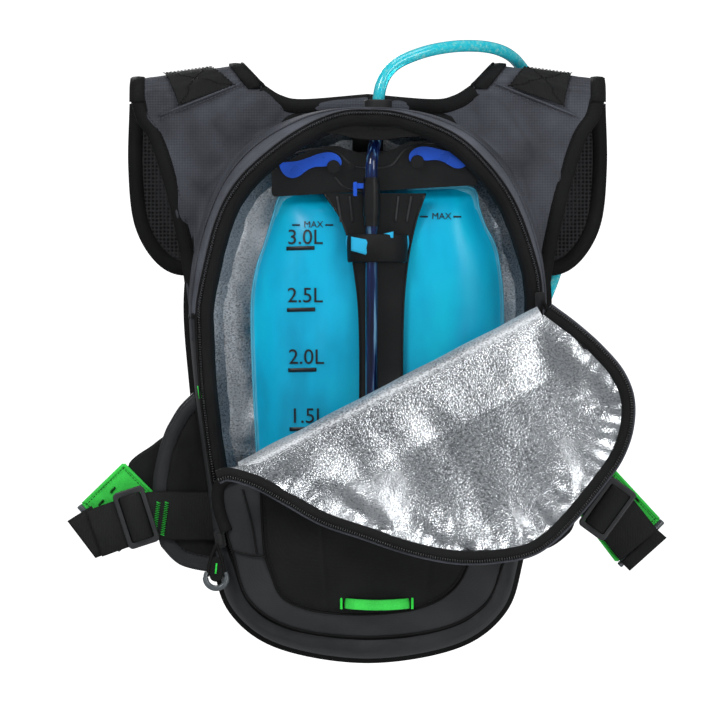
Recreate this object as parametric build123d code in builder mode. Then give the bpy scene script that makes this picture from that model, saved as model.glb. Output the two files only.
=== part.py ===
from build123d import *
import math
import os

# A hydration pack with its front panel unzipped and folded down, in millimetres.
# Z is up, the front faces -Y, and Y = 0 is the plane of the wearer's back.
# Every soft piece is a plain closed solid of the right size and place.

# ---- driving dimensions ---------------------------------------------------------------
GAP = 0.4  # free space between neighbouring pieces
WALL = 3.0  # padded fabric wall
WEB_THICK = 2.5  # waist belt webbing
PAD_DEPTH = 6.0  # back pads
SHELL_BACK_Y = -14.0  # where the side gusset starts
RIM_Y = -80.0  # front edge of the gusset, where the zip runs
TAPE = 5.0  # width of one side of the zip
ZIP_THICK = 2.2
CUT = 300.0  # longer than any piece, for cutting right through
FRONT_BULGE = 44.0  # how far the lower front panel stands out of the rim
HOSE_RADIUS = 4.75
SEWN_Z = -140.0  # the zip ends here on both sides

# Right half of the body's outline at the back and at the rim, from top to bottom (x, z).
BACK_HALF = [
    (0, 206), (55, 199), (100, 172), (128, 122), (140, 62), (136, -10),
    (125, -95), (117, -150), (104, -188), (68, -214), (0, -225),
]
RIM_HALF = [
    (0, 204), (50, 193), (94, 161), (120, 120), (134.5, 62), (133.5, -8),
    (122, -92), (112, -145), (97, -181), (62, -203), (0, -210),
]
MIDDLE_Z = -10.0  # the outlines shrink toward this height

# The fold of the opened front panel, a slanted line across the front (x, z).
FOLD_LEFT = (-102.0, -72.0)
FOLD_RIGHT = (138.0, 52.0)
FLAP_Y = -137.0  # inner face of the opened panel
FLAP_THICK = 4.0
FLAP_RIM = 10.0  # how far the zip edge of the opened panel stands forward

# Reservoir
BAG_MIDDLE_Y = -40.0
BAG_FRONT_Y = -57.0
BAG_BACK_Y = -22.0
BAR_TILT = 3.25  # degrees, the closure bar hangs a little askew
BAR_CENTRE = (5.0, 157.0)
LEVER_LEFT = (-26.6, 158.6)
LEVER_RIGHT = (38.8, 162.5)
PIN_RADIUS = 5.0
HOSE_X = 3.0
HOSE_Y = -73.0
CONNECTOR_LOW = 112.0
CONNECTOR_HIGH = 150.0
OUTLET_Z = -136.0

# Shoulder: the yoke goes over the top as an arch and carries the strap pad behind.
NECK_CORNER = (99.0, 224.0)
OUTER_CORNER = (186.0, 212.0)
ARCH_Y = 7.0
ARCH_INNER = 10.0
ARCH_OUTER = 17.0
ARCH_SEAM = 4.0  # how far the arch laps over the yoke
PAD_Y = 17.0
PAD_THICK = 12.0

# Hip wings
WING_BACK_Y = -30.0
WING_THICK = 12.0


# ---- helpers --------------------------------------------------------------------------
def both_sides(half, inset=0.0):
    """The whole closed outline from its right half, made smaller by an inset on each side."""
    widest = max(x for x, z in half)
    tallest = max(abs(z - MIDDLE_Z) for x, z in half)
    wide = 1 - inset / widest
    tall = 1 - inset / tallest
    right = [(x * wide, MIDDLE_Z + (z - MIDDLE_Z) * tall) for x, z in half]
    left = [(-x, z) for x, z in reversed(right[1:-1])]
    return right + left


def front_plane(y):
    """The plane facing the front at this depth, with X to the right and Z up."""
    return Plane.XZ.offset(-y)


def smooth_face(points, y):
    """A face with a smooth closed outline."""
    with BuildSketch(front_plane(y)) as face:
        with BuildLine():
            Spline(*points, periodic=True)
        make_face()
    return face


def corner_face(points, y, radius=0.0):
    """A face with straight sides and rounded corners."""
    with BuildSketch(front_plane(y)) as face:
        with BuildLine():
            Polyline(*points, close=True)
        make_face()
        if radius:
            fillet(face.vertices(), radius)
    return face


def smooth_slab(points, back, front):
    """A flat piece with a smooth outline between two depths."""
    with BuildPart() as piece:
        extrude(smooth_face(points, back).sketch, amount=back - front, dir=(0, -1, 0))
    return piece


def corner_slab(points, back, front, radius=0.0):
    """A flat piece with straight sides between two depths."""
    with BuildPart() as piece:
        extrude(corner_face(points, back, radius).sketch, amount=back - front, dir=(0, -1, 0))
    return piece


def tub(half_back, half_rim, inset, back, front):
    """The closed solid of the body, lofted from its back outline to its rim."""
    with BuildPart() as piece:
        with BuildSketch(front_plane(back)):
            with BuildLine():
                Spline(*both_sides(half_back, inset), periodic=True)
            make_face()
        with BuildSketch(front_plane(front)):
            with BuildLine():
                Spline(*both_sides(half_rim, inset), periodic=True)
            make_face()
        loft()
    return piece


def domed(points, edge_y, rise, half_width, low, middle, high):
    """A piece that bulges to the front: an outline cut by an arc across and an arc down."""
    with BuildPart() as piece:
        extrude(smooth_face(points, edge_y).sketch, amount=rise, dir=(0, -1, 0))
        with BuildSketch(Plane.XY):
            with BuildLine():
                ThreePointArc((-half_width, edge_y), (0, edge_y - rise), (half_width, edge_y))
                Line((-half_width, edge_y), (half_width, edge_y))
            make_face()
        extrude(amount=CUT, both=True, mode=Mode.INTERSECT)
        with BuildSketch(Plane.YZ):
            with BuildLine():
                ThreePointArc((edge_y, low), (edge_y - rise, middle), (edge_y, high))
                Line((edge_y, low), (edge_y, high))
            make_face()
        extrude(amount=CUT, both=True, mode=Mode.INTERSECT)
    return piece


def arc_depth(edge_y, rise, low, middle, high, z):
    """The depth of the dome's arc at a height, from the circle through its three points."""
    with BuildLine() as line:
        ThreePointArc((edge_y, low), (edge_y - rise, middle), (edge_y, high))
    arc = line.edges()[0]
    centre = arc.arc_center
    return centre.X - math.sqrt(arc.radius**2 - (z - centre.Y) ** 2)


def mirrored(points):
    """The same outline on the left side."""
    return [(-x, z) for x, z in points]


def along(start, end, distance):
    """The point this far from start toward end."""
    length = math.hypot(end[0] - start[0], end[1] - start[1])
    share = distance / length
    return (start[0] + (end[0] - start[0]) * share, start[1] + (end[1] - start[1]) * share)


def rod(start, end, radius, y):
    """A round bar lying in the front plane at a depth, from one (x, z) point to another."""
    first = Vector(start[0], y, start[1])
    last = Vector(end[0], y, end[1])
    with BuildPart() as piece:
        with BuildSketch(Plane(origin=first, z_dir=last - first)):
            Circle(radius)
        extrude(amount=(last - first).length)
        fillet(piece.edges(), radius * 0.4)
    return piece


def corner_radii(route):
    """The largest tangent arc that each corner of a hose's route allows."""
    radii = []
    for before, here, after in zip(route, route[1:], route[2:]):
        into = Vector(here) - Vector(before)
        out = Vector(after) - Vector(here)
        turn = math.radians(into.get_angle(out))
        shorter = min(into.length, out.length)
        radii.append(0.45 * shorter / math.tan(turn / 2))
    return radii


def hose(route, radius):
    """A round tube along a route of straight runs joined by tangent arcs."""
    radii = corner_radii(route)
    with BuildPart() as piece:
        with BuildLine() as path:
            FilletPolyline(*route, radius=radii)
        with BuildSketch(Plane(origin=route[0], z_dir=path.wire() % 0)):
            Circle(radius)
        sweep()
    length = path.wire().length
    print("hose radii", [round(r, 1) for r in radii], "length", round(length, 1))
    print("volume ratio", round(piece.part.volume / (math.pi * radius**2 * length), 4))
    return piece


os.makedirs("parts", exist_ok=True)
pieces = {}

# ---- body -----------------------------------------------------------------------------
# Three pads that touch the wearer's back, either side of a spine channel and at the waist.
PAD_COLUMN = [(-90, 150), (-50, 178), (-18, 160), (-16, 60), (-18, -60), (-60, -72), (-104, -50), (-108, 60)]
WAIST_PAD = [(-98, -86), (0, -84), (98, -86), (94, -150), (60, -192), (0, -200), (-60, -192), (-94, -150)]
with BuildPart() as back_pads:
    for outline in (PAD_COLUMN, mirrored(PAD_COLUMN), WAIST_PAD):
        extrude(smooth_face(outline, 0).sketch, amount=PAD_DEPTH, dir=(0, -1, 0))
pieces["back_pads"] = back_pads

pieces["back_panel"] = smooth_slab(both_sides(BACK_HALF), -PAD_DEPTH, SHELL_BACK_Y + GAP)

# The gusset is the body's side wall. Its lower part is the sweep under the front panel.
SWEEP_TOP_Z = -152.0
PORT_X = 8.0
PORT_Y = -58.0
PORT_RADIUS = 11.0
with BuildPart() as gusset_ring:
    add(tub(BACK_HALF, RIM_HALF, 0, SHELL_BACK_Y, RIM_Y).part)
    add(tub(BACK_HALF, RIM_HALF, WALL, SHELL_BACK_Y, RIM_Y).part, mode=Mode.SUBTRACT)

with BuildPart() as side_gusset:
    add(gusset_ring.part)
    split(bisect_by=Plane.XY.offset(SWEEP_TOP_Z), keep=Keep.TOP)
    with Locations((PORT_X, PORT_Y, RIM_HALF[0][1])):
        Cylinder(PORT_RADIUS + GAP, 30, mode=Mode.SUBTRACT)
pieces["side_gusset"] = side_gusset

with BuildPart() as bottom_sweep:
    add(gusset_ring.part)
    split(bisect_by=Plane.XY.offset(SWEEP_TOP_Z - GAP), keep=Keep.BOTTOM)
pieces["bottom_sweep"] = bottom_sweep

# The insulated lining follows the gusset inside and covers the back of the compartment.
LINING = 1.2
LINING_INSET = WALL + GAP + 0.8
with BuildPart() as insulated_lining:
    add(tub(BACK_HALF, RIM_HALF, LINING_INSET, SHELL_BACK_Y - GAP, RIM_Y).part)
    add(
        tub(BACK_HALF, RIM_HALF, LINING_INSET + LINING, SHELL_BACK_Y - GAP - LINING, RIM_Y - GAP).part,
        mode=Mode.SUBTRACT,
    )
    with Locations((PORT_X, PORT_Y, RIM_HALF[0][1])):
        Cylinder(PORT_RADIUS + GAP, 40, mode=Mode.SUBTRACT)
pieces["insulated_lining"] = insulated_lining

# The port is a rubber ring in the top wall that the drinking hose comes out of.
with BuildPart() as hose_port:
    with Locations((PORT_X, PORT_Y, RIM_HALF[0][1])):
        Cylinder(PORT_RADIUS, 14)
        Cylinder(HOSE_RADIUS + 0.6, 14, mode=Mode.SUBTRACT)
    fillet(hose_port.edges().group_by(Axis.Z)[-1], 1)
pieces["hose_port"] = hose_port

# The lower front panel is a padded dome from the bottom of the rim up to the fold.
DOME_LOW = -216.0
DOME_MIDDLE = -95.0
DOME_HIGH = 175.0
DOME_WIDE = 128.0
FOLD_GAP = 3.0
ABOVE_FOLD = [
    along(FOLD_LEFT, FOLD_RIGHT, -80),
    along(FOLD_RIGHT, FOLD_LEFT, -80),
    (300, 300),
    (-300, 300),
]
with BuildPart() as front_panel:
    add(domed(both_sides(RIM_HALF, TAPE + 1), RIM_Y - GAP, FRONT_BULGE,
              DOME_WIDE, DOME_LOW, DOME_MIDDLE, DOME_HIGH).part)
    add(domed(both_sides(RIM_HALF, TAPE + 1 + WALL), RIM_Y - GAP, FRONT_BULGE - WALL,
              DOME_WIDE - WALL, DOME_LOW + WALL, DOME_MIDDLE, DOME_HIGH - WALL).part,
        mode=Mode.SUBTRACT)
    extrude(corner_face([(x, z - FOLD_GAP) for x, z in ABOVE_FOLD], 0).sketch,
            amount=CUT, dir=(0, -1, 0), mode=Mode.SUBTRACT)
pieces["front_panel"] = front_panel

# The zip's body side, a narrow band along the rim above the two sewn ends.
with BuildPart() as zip_track:
    extrude(smooth_face(both_sides(RIM_HALF), RIM_Y - GAP).sketch, amount=ZIP_THICK, dir=(0, -1, 0))
    extrude(smooth_face(both_sides(RIM_HALF, TAPE), RIM_Y - GAP).sketch,
            amount=ZIP_THICK, dir=(0, -1, 0), mode=Mode.SUBTRACT)
    split(bisect_by=Plane.XY.offset(SEWN_Z), keep=Keep.TOP)
pieces["zip_track"] = zip_track

# A bright loop low on the front panel, for clipping on a light.
LOOP_X = (-20.0, 34.5)
LOOP_Z = (-184.5, -176.5)
LOOP_GAP = 8.0
loop_y = arc_depth(RIM_Y - GAP, FRONT_BULGE, DOME_LOW, DOME_MIDDLE, DOME_HIGH, LOOP_Z[1]) - GAP
with BuildPart() as light_loop:
    with BuildSketch(Plane.XY.offset(LOOP_Z[0])):
        with BuildLine():
            Polyline(
                (LOOP_X[0], loop_y), (LOOP_X[1], loop_y),
                (LOOP_X[1], loop_y - 1.5), (LOOP_X[1] - 6, loop_y - LOOP_GAP - 1.5),
                (LOOP_X[0] + 6, loop_y - LOOP_GAP - 1.5), (LOOP_X[0], loop_y - 1.5), close=True,
            )
        make_face()
        with BuildLine():
            Polyline(
                (LOOP_X[0] + 5, loop_y), (LOOP_X[1] - 5, loop_y),
                (LOOP_X[1] - 9, loop_y - LOOP_GAP), (LOOP_X[0] + 9, loop_y - LOOP_GAP), close=True,
            )
        make_face(mode=Mode.SUBTRACT)
    extrude(amount=LOOP_Z[1] - LOOP_Z[0])
pieces["light_loop"] = light_loop

# ---- yoke and shoulders ---------------------------------------------------------------
YOKE_BACK_Y = -3.0
YOKE_FRONT_Y = -10.0
NECK = [(0, 217), (50, 213), (72, 217), (90, 231)]
YOKE_SIDE = [(181, 195), (171, 178), (156, 132), (147, 82), (142, 40), (134, -12)]


def yoke_face(y):
    """The vest-shaped panel behind the body, without the part that the body covers."""
    with BuildSketch(front_plane(y)) as face:
        with BuildLine():
            for side in (1, -1):
                neck = [(x * side, z) for x, z in NECK]
                outer = [(x * side, z) for x, z in YOKE_SIDE]
                corner = (NECK_CORNER[0] * side, NECK_CORNER[1])
                tip = (OUTER_CORNER[0] * side, OUTER_CORNER[1])
                Spline(*neck[:-1], corner, tangents=[(side, 0), (side * 0.8, 1)])
                Line(corner, tip)
                Spline(tip, *outer)
            Line((YOKE_SIDE[-1][0], YOKE_SIDE[-1][1]), (-YOKE_SIDE[-1][0], YOKE_SIDE[-1][1]))
        make_face()
    return face


def shoulder_arch(side):
    """The fabric going over one shoulder, an arch from the yoke to the strap behind it."""
    start = Vector(NECK_CORNER[0] * side, ARCH_Y, NECK_CORNER[1])
    end = Vector(OUTER_CORNER[0] * side, ARCH_Y, OUTER_CORNER[1])
    with BuildPart() as arch:
        with BuildSketch(Plane(origin=start, x_dir=(0, side, 0), z_dir=end - start)):
            with BuildLine():
                CenterArc((0, 0), ARCH_OUTER, 0, 180)
                Line((-ARCH_OUTER, 0), (-ARCH_INNER, 0))
                CenterArc((0, 0), ARCH_INNER, 0, 180)
                Line((ARCH_INNER, 0), (ARCH_OUTER, 0))
            make_face()
            with Locations((-side * (ARCH_OUTER + ARCH_INNER) / 2, 0)):
                Rectangle(ARCH_OUTER - ARCH_INNER, 2 * ARCH_SEAM)
        extrude(amount=(end - start).length)
    return arch


with BuildPart() as yoke:
    extrude(yoke_face(YOKE_BACK_Y).sketch, amount=YOKE_BACK_Y - YOKE_FRONT_Y, dir=(0, -1, 0))
    for side in (1, -1):
        add(shoulder_arch(side).part)
    extrude(smooth_face(both_sides(BACK_HALF, -GAP), 5).sketch,
            amount=CUT, dir=(0, -1, 0), mode=Mode.SUBTRACT)
pieces["yoke"] = yoke

# Webbing patches stitched over the shoulder seams.
PATCH = [(121, 224), (158, 219), (155, 206), (119, 213)]
with BuildPart() as shoulder_patches:
    for outline in (PATCH, mirrored(PATCH)):
        extrude(corner_face(outline, YOKE_FRONT_Y - GAP).sketch, amount=1.5, dir=(0, -1, 0))
pieces["shoulder_patches"] = shoulder_patches

# ---- reservoir ------------------------------------------------------------------------
BAG = [
    (-74, 134), (-85, 95), (-88, 50), (-87, -30), (-84, -110), (-62, -166), (8, -181),
    (82, -168), (102, -110), (105, -30), (105, 50), (98, 95), (86, 142),
]
BAG_CENTRE_X = 8.0
BAG_HALF_WIDTH = 98.0
with BuildPart() as reservoir_bag:
    with BuildSketch(front_plane(BAG_BACK_Y)):
        with BuildLine():
            Spline(*BAG)
            Line(BAG[-1], BAG[0])
        make_face()
    extrude(amount=BAG_BACK_Y - BAG_FRONT_Y)
    with BuildSketch(Plane.XY):
        with BuildLine():
            ThreePointArc(
                (BAG_CENTRE_X - BAG_HALF_WIDTH, BAG_MIDDLE_Y),
                (BAG_CENTRE_X, BAG_FRONT_Y),
                (BAG_CENTRE_X + BAG_HALF_WIDTH, BAG_MIDDLE_Y),
            )
            ThreePointArc(
                (BAG_CENTRE_X + BAG_HALF_WIDTH, BAG_MIDDLE_Y),
                (BAG_CENTRE_X, BAG_BACK_Y),
                (BAG_CENTRE_X - BAG_HALF_WIDTH, BAG_MIDDLE_Y),
            )
        make_face()
    extrude(amount=CUT, both=True, mode=Mode.INTERSECT)
pieces["reservoir_bag"] = reservoir_bag

# A stiff black plate down the middle of the bag, narrow at its waist.
SPINE_BACK_Y = BAG_FRONT_Y - GAP
SPINE_FRONT_Y = SPINE_BACK_Y - 3.0
with BuildPart() as reservoir_spine:
    with BuildSketch(front_plane(SPINE_BACK_Y)):
        with BuildLine():
            Spline((-34, 138), (-19, 114), (-10, 76), (-6, 20), (-7, -120))
            Line((-7, -120), (27, -120))
            Spline((27, -120), (27, 20), (30, 76), (37, 114), (45, 138))
            Line((45, 138), (-34, 138))
        make_face()
    extrude(amount=SPINE_BACK_Y - SPINE_FRONT_Y)
pieces["reservoir_spine"] = reservoir_spine

# The closure is a rear rail and a front bar that clamp the rolled top of the bag.
BAR_BACK_Y = -48.0
BAR_FRONT_Y = -56.0
RAIL_BACK_Y = -34.0
BAR_OUTLINE = [
    (-81, -17), (80, -17), (79, 1), (62, 11), (50, 19), (28, 20), (0, 9),
    (-28, 20), (-40, 20), (-60, 14), (-80, 3),
]


def tilted(point):
    """A point of the closure bar's own outline, turned and placed where the bar hangs."""
    turn = math.radians(BAR_TILT)
    x, z = point
    across = x * math.cos(turn) - z * math.sin(turn)
    up = x * math.sin(turn) + z * math.cos(turn)
    return (BAR_CENTRE[0] + across, BAR_CENTRE[1] + up)


pieces["closure_bar"] = corner_slab([tilted(p) for p in BAR_OUTLINE], BAR_BACK_Y, BAR_FRONT_Y, 3)
RAIL_OUTLINE = [(-72, -13), (72, -13), (72, 2), (56, 14), (-56, 14), (-72, 2)]
pieces["closure_rail"] = corner_slab([tilted(p) for p in RAIL_OUTLINE], RAIL_BACK_Y, BAR_BACK_Y + GAP, 3)

# Screws that hold the bar's two halves together, between the levers.
SCREWS = [(-12.5, 159), (25.5, 161)]
SCREW_RADIUS = 2.6
SCREW_HEAD = 1.6
with BuildPart() as closure_screws:
    for x, z in SCREWS:
        with Locations(Plane(origin=(x, BAR_FRONT_Y - GAP / 4, z), z_dir=(0, -1, 0))):
            Cylinder(SCREW_RADIUS, SCREW_HEAD, align=(Align.CENTER, Align.CENTER, Align.MIN))
pieces["closure_screws"] = closure_screws

LEVER_BACK_Y = BAR_FRONT_Y - 1.0
LEVER_THICK = 5.0
PIN_HIGH = 7.2
PIN_FREE = 0.3
with BuildPart() as lever_pins:
    for x, z in (LEVER_LEFT, LEVER_RIGHT):
        with Locations(Plane(origin=(x, BAR_FRONT_Y, z), z_dir=(0, -1, 0))):
            Cylinder(PIN_RADIUS, PIN_HIGH, align=(Align.CENTER, Align.CENTER, Align.MIN))
pieces["lever_pins"] = lever_pins

# The lever hooks over its pin from above and ends in a thumb rest.
LEVER = [
    (-6.2, 1.8), (-5.4, 7), (0, 11), (8, 11.4), (19, 8.4), (33, 5.8), (42, 3.8),
    (41, -0.4), (38, -4.6), (33, -6.8), (28, -6), (22, -2.2), (14, 0.8), (6.4, 0.8), (0, 1.6),
]


def lever(pivot, side):
    """A cam lever that turns on its pin and swings its thumb end outward."""
    turn = math.radians(BAR_TILT)
    outline = []
    for x, z in LEVER:
        across = x * side
        outline.append((pivot[0] + across * math.cos(turn) - z * math.sin(turn),
                        pivot[1] + across * math.sin(turn) + z * math.cos(turn)))
    with BuildPart() as piece:
        extrude(smooth_face(outline, LEVER_BACK_Y).sketch,
                amount=LEVER_THICK, dir=(0, -1, 0))
        with Locations(Plane(origin=(pivot[0], LEVER_BACK_Y, pivot[1]), z_dir=(0, 1, 0))):
            Cylinder(PIN_RADIUS + PIN_FREE, CUT, mode=Mode.SUBTRACT)
    return piece


pieces["lever_left"] = lever(LEVER_LEFT, -1)
pieces["lever_right"] = lever(LEVER_RIGHT, 1)

# Quick connector in the inner hose, with a side button that lets the hose go.
BUTTON_Z = 143.5
BARREL_RADIUS = 7.2
COLLAR_RADIUS = 6.2
LOW_COLLAR = 8.0
HIGH_COLLAR = 4.0
with BuildPart() as hose_connector:
    with Locations((HOSE_X, HOSE_Y, CONNECTOR_LOW)):
        Cylinder(COLLAR_RADIUS, LOW_COLLAR, align=(Align.CENTER, Align.CENTER, Align.MIN))
    with Locations((HOSE_X, HOSE_Y, CONNECTOR_LOW + LOW_COLLAR)):
        Cylinder(BARREL_RADIUS, CONNECTOR_HIGH - CONNECTOR_LOW - LOW_COLLAR - HIGH_COLLAR,
                 align=(Align.CENTER, Align.CENTER, Align.MIN))
    with Locations((HOSE_X, HOSE_Y, CONNECTOR_HIGH - HIGH_COLLAR)):
        Cylinder(COLLAR_RADIUS, HIGH_COLLAR, align=(Align.CENTER, Align.CENTER, Align.MIN))
    with Locations((HOSE_X - 5, HOSE_Y, BUTTON_Z)):
        Box(8.4, 6.8, 4.8, mode=Mode.SUBTRACT)
pieces["hose_connector"] = hose_connector

with BuildPart() as release_button:
    with Locations((HOSE_X - 12.8, HOSE_Y, BUTTON_Z - 2.5)):
        Box(3, 8, 11)
    with Locations((HOSE_X - 8.2, HOSE_Y, BUTTON_Z)):
        Box(6.4, 6, 4)
    fillet(release_button.edges().filter_by(Axis.Y).group_by(Axis.X)[0], 1.2)
pieces["release_button"] = release_button

# The inner hose runs from the outlet up to the connector and on to the port.
with BuildPart() as inner_hose:
    with BuildSketch(Plane(origin=(HOSE_X, HOSE_Y, OUTLET_Z))):
        Circle(HOSE_RADIUS)
    extrude(amount=CONNECTOR_LOW - OUTLET_Z)
    add(hose([
        (HOSE_X, HOSE_Y, CONNECTOR_HIGH), (HOSE_X, HOSE_Y, 161),
        (HOSE_X + 2, HOSE_Y + 6, 174), (PORT_X, PORT_Y - 0.2, 188), (PORT_X, PORT_Y, 203),
    ], HOSE_RADIUS).part)
pieces["inner_hose"] = inner_hose

# A wrap-around strap holds the hose against the plate.
with BuildPart() as hose_keeper:
    with Locations((7.5, SPINE_FRONT_Y - 1.4, 95.5)):
        Box(43, 2, 23)
    with Locations((HOSE_X, HOSE_Y, 95.5)):
        Cylinder(7.6, 20)
        Box(15.2, 11, 20, align=(Align.CENTER, Align.MIN, Align.CENTER))
        Cylinder(HOSE_RADIUS + 0.3, 30, mode=Mode.SUBTRACT)
    with Locations((7.5, SPINE_FRONT_Y + 1.6, 95.5)):
        Box(50, 4, 30, mode=Mode.SUBTRACT)
pieces["hose_keeper"] = hose_keeper

# The outlet is a round flange on the bag with an elbow up into the hose.
with BuildPart() as outlet_port:
    with Locations(Plane(origin=(HOSE_X, BAG_FRONT_Y - GAP, OUTLET_Z - 16), z_dir=(0, -1, 0))):
        Cylinder(14, 4, align=(Align.CENTER, Align.CENTER, Align.MIN))
        Cylinder(7, -HOSE_Y + BAG_FRONT_Y - GAP + 6, align=(Align.CENTER, Align.CENTER, Align.MIN))
    with Locations((HOSE_X, HOSE_Y, OUTLET_Z - 16)):
        Cylinder(6.2, 16, align=(Align.CENTER, Align.CENTER, Align.MIN))
pieces["outlet_port"] = outlet_port

# A webbing tab hangs the closure from the top of the compartment.
with BuildPart() as reservoir_hanger:
    with Locations((0, -29, 184)):
        Box(25, 2, 28)
    with Locations((0, -30.8, 172)):
        Box(25, 5.6, 3)
pieces["reservoir_hanger"] = reservoir_hanger

# ---- opened front panel ---------------------------------------------------------------
FLAP_EDGE = [
    (161, 35), (196, -1), (204, -30), (195, -68), (161, -113), (108, -146), (44, -144),
    (-19, -124), (-87, -90), (-106, -80),
]
FLAP_CENTRE = (60.0, -40.0)
flap_corner_left = along(FOLD_LEFT, FOLD_RIGHT, 2)
flap_corner_right = along(FOLD_RIGHT, FOLD_LEFT, 2)


def flap_face(y, inset=0.0):
    """The opened panel's outline: the fold and the round zip edge below it."""
    edge = [along(point, FLAP_CENTRE, inset) for point in FLAP_EDGE]
    with BuildSketch(front_plane(y)) as face:
        with BuildLine():
            Line(flap_corner_left, flap_corner_right)
            Spline(flap_corner_right, *edge, flap_corner_left)
        make_face()
    return face


with BuildPart() as flap_panel:
    extrude(flap_face(FLAP_Y + FLAP_THICK).sketch, amount=FLAP_THICK, dir=(0, -1, 0))
pieces["flap_panel"] = flap_panel

with BuildPart() as flap_zip_track:
    extrude(flap_face(FLAP_Y - 0.1).sketch, amount=FLAP_RIM, dir=(0, -1, 0))
    extrude(flap_face(FLAP_Y - 0.1, 4.0).sketch, amount=FLAP_RIM, dir=(0, -1, 0), mode=Mode.SUBTRACT)
    extrude(corner_face([(x, z - 16) for x, z in ABOVE_FOLD], 0).sketch,
            amount=CUT, dir=(0, -1, 0), mode=Mode.SUBTRACT)
pieces["flap_zip_track"] = flap_zip_track

# ---- zip sliders and pulls ------------------------------------------------------------
SLIDER_Y = RIM_Y - GAP - ZIP_THICK - GAP
SLIDER_WIDE = 8.0
SLIDER_LONG = 14.0
SLIDER_CORNER = 2.5
SLIDER_THICK = 5.0
BRIDGE_WIDE = 3.0
BRIDGE_LONG = 9.0
BRIDGE_HIGH = 3.0
BRIDGE_HOLE = 5.0
PULL_AHEAD = 10.0  # how far in front of the zip the pull hangs
PULL_THICK = 3.0
PULL_CORD = 4.5
RING_WALL = 4.2


def slider(place, lean):
    """A slider body lying on the zip, turned to the zip's direction."""
    plane = Plane(origin=(place[0], SLIDER_Y, place[1]), x_dir=(math.cos(lean), 0, math.sin(lean)),
                  z_dir=(0, -1, 0))
    with BuildPart() as piece:
        with BuildSketch(plane):
            RectangleRounded(SLIDER_WIDE, SLIDER_LONG, SLIDER_CORNER)
        extrude(amount=SLIDER_THICK)
        with BuildSketch(plane.offset(SLIDER_THICK)):
            Rectangle(BRIDGE_WIDE, BRIDGE_LONG)
        extrude(amount=BRIDGE_HIGH)
        with Locations(plane.offset(SLIDER_THICK + BRIDGE_HIGH * 0.4)):
            Box(BRIDGE_WIDE, BRIDGE_HOLE, BRIDGE_HIGH * 0.6, mode=Mode.SUBTRACT)
    return piece


def pull(place, length, width):
    """A cord pull: a cord loop ending in a moulded ring."""
    drop = length - width
    with BuildPart() as piece:
        with BuildSketch(front_plane(SLIDER_Y - PULL_AHEAD)):
            with Locations((place[0], place[1] - 2 - drop / 2)):
                RectangleRounded(PULL_CORD, drop + 2, 2)
            with Locations((place[0], place[1] - length + width / 2)):
                Circle(width / 2)
                Circle(width / 2 - RING_WALL, mode=Mode.SUBTRACT)
        extrude(amount=PULL_THICK)
    return piece


SLIDER_LEFT = (-114.6, -131.0)
SLIDER_RIGHT = (134.0, 54.0)
ZIP_LEAN_LEFT = math.radians(11)
ZIP_LEAN_RIGHT = math.radians(3)
pieces["zip_slider_left"] = slider(SLIDER_LEFT, ZIP_LEAN_LEFT)
pieces["zip_slider_right"] = slider(SLIDER_RIGHT, ZIP_LEAN_RIGHT)
pieces["zip_pull_left"] = pull((SLIDER_LEFT[0] - 3, SLIDER_LEFT[1] - 3), 37, 17)
pieces["zip_pull_right"] = pull((SLIDER_RIGHT[0] + 2, SLIDER_RIGHT[1] + 1), 30, 13)

# ---- shoulder straps ------------------------------------------------------------------
PAD_EDGE = [(187, 160), (182, 115), (165, 86), (143, 77), (116, 88), (101, 125)]


def strap_outline(side):
    """The padded strap hanging down behind its shoulder."""
    drop = GAP + 0.8
    top_neck = ((NECK_CORNER[0] + 1) * side, NECK_CORNER[1] - drop)
    top_outer = (OUTER_CORNER[0] * side, OUTER_CORNER[1] - drop)
    edge = [(x * side, z) for x, z in PAD_EDGE]
    with BuildSketch(front_plane(PAD_Y + PAD_THICK)) as face:
        with BuildLine():
            Line(top_neck, top_outer)
            Spline(top_outer, *edge, top_neck)
        make_face()
    return face


for side, name in ((-1, "left"), (1, "right")):
    with BuildPart() as strap_pad:
        extrude(strap_outline(side).sketch, amount=PAD_THICK, dir=(0, -1, 0))
    pieces[f"strap_pad_{name}"] = strap_pad

    # Ladder lock at the lower end of the pad, on a short tab.
    with BuildPart() as strap_adjuster:
        with BuildSketch(front_plane(PAD_Y + 7)):
            with Locations((side * 128, 64)):
                RectangleRounded(33, 24, 4)
                with Locations((0, 6.4), (0, -6.2)):
                    Rectangle(26, 5, mode=Mode.SUBTRACT)
        extrude(amount=3.6)
    pieces[f"strap_adjuster_{name}"] = strap_adjuster

    # Webbing from the ladder lock down behind the body to the lower corner.
    web = [(115.5, 50), (140.5, 50), (127, -50), (102, -50)]
    strap_web = corner_slab([(x * side, z) for x, z in web], PAD_Y + 5, PAD_Y + 3.4)
    pieces[f"strap_webbing_{name}"] = strap_web

    # Anchor tab sewn into the body's lower side seam, with the sewn end of that webbing.
    with BuildPart() as strap_anchor:
        anchor = [(100, -58), (124, -58), (116, -118), (90, -124)]
        extrude(corner_face([(x * side, z) for x, z in anchor], 4).sketch, amount=3.4, dir=(0, -1, 0))
    pieces[f"strap_anchor_{name}"] = strap_anchor

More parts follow.
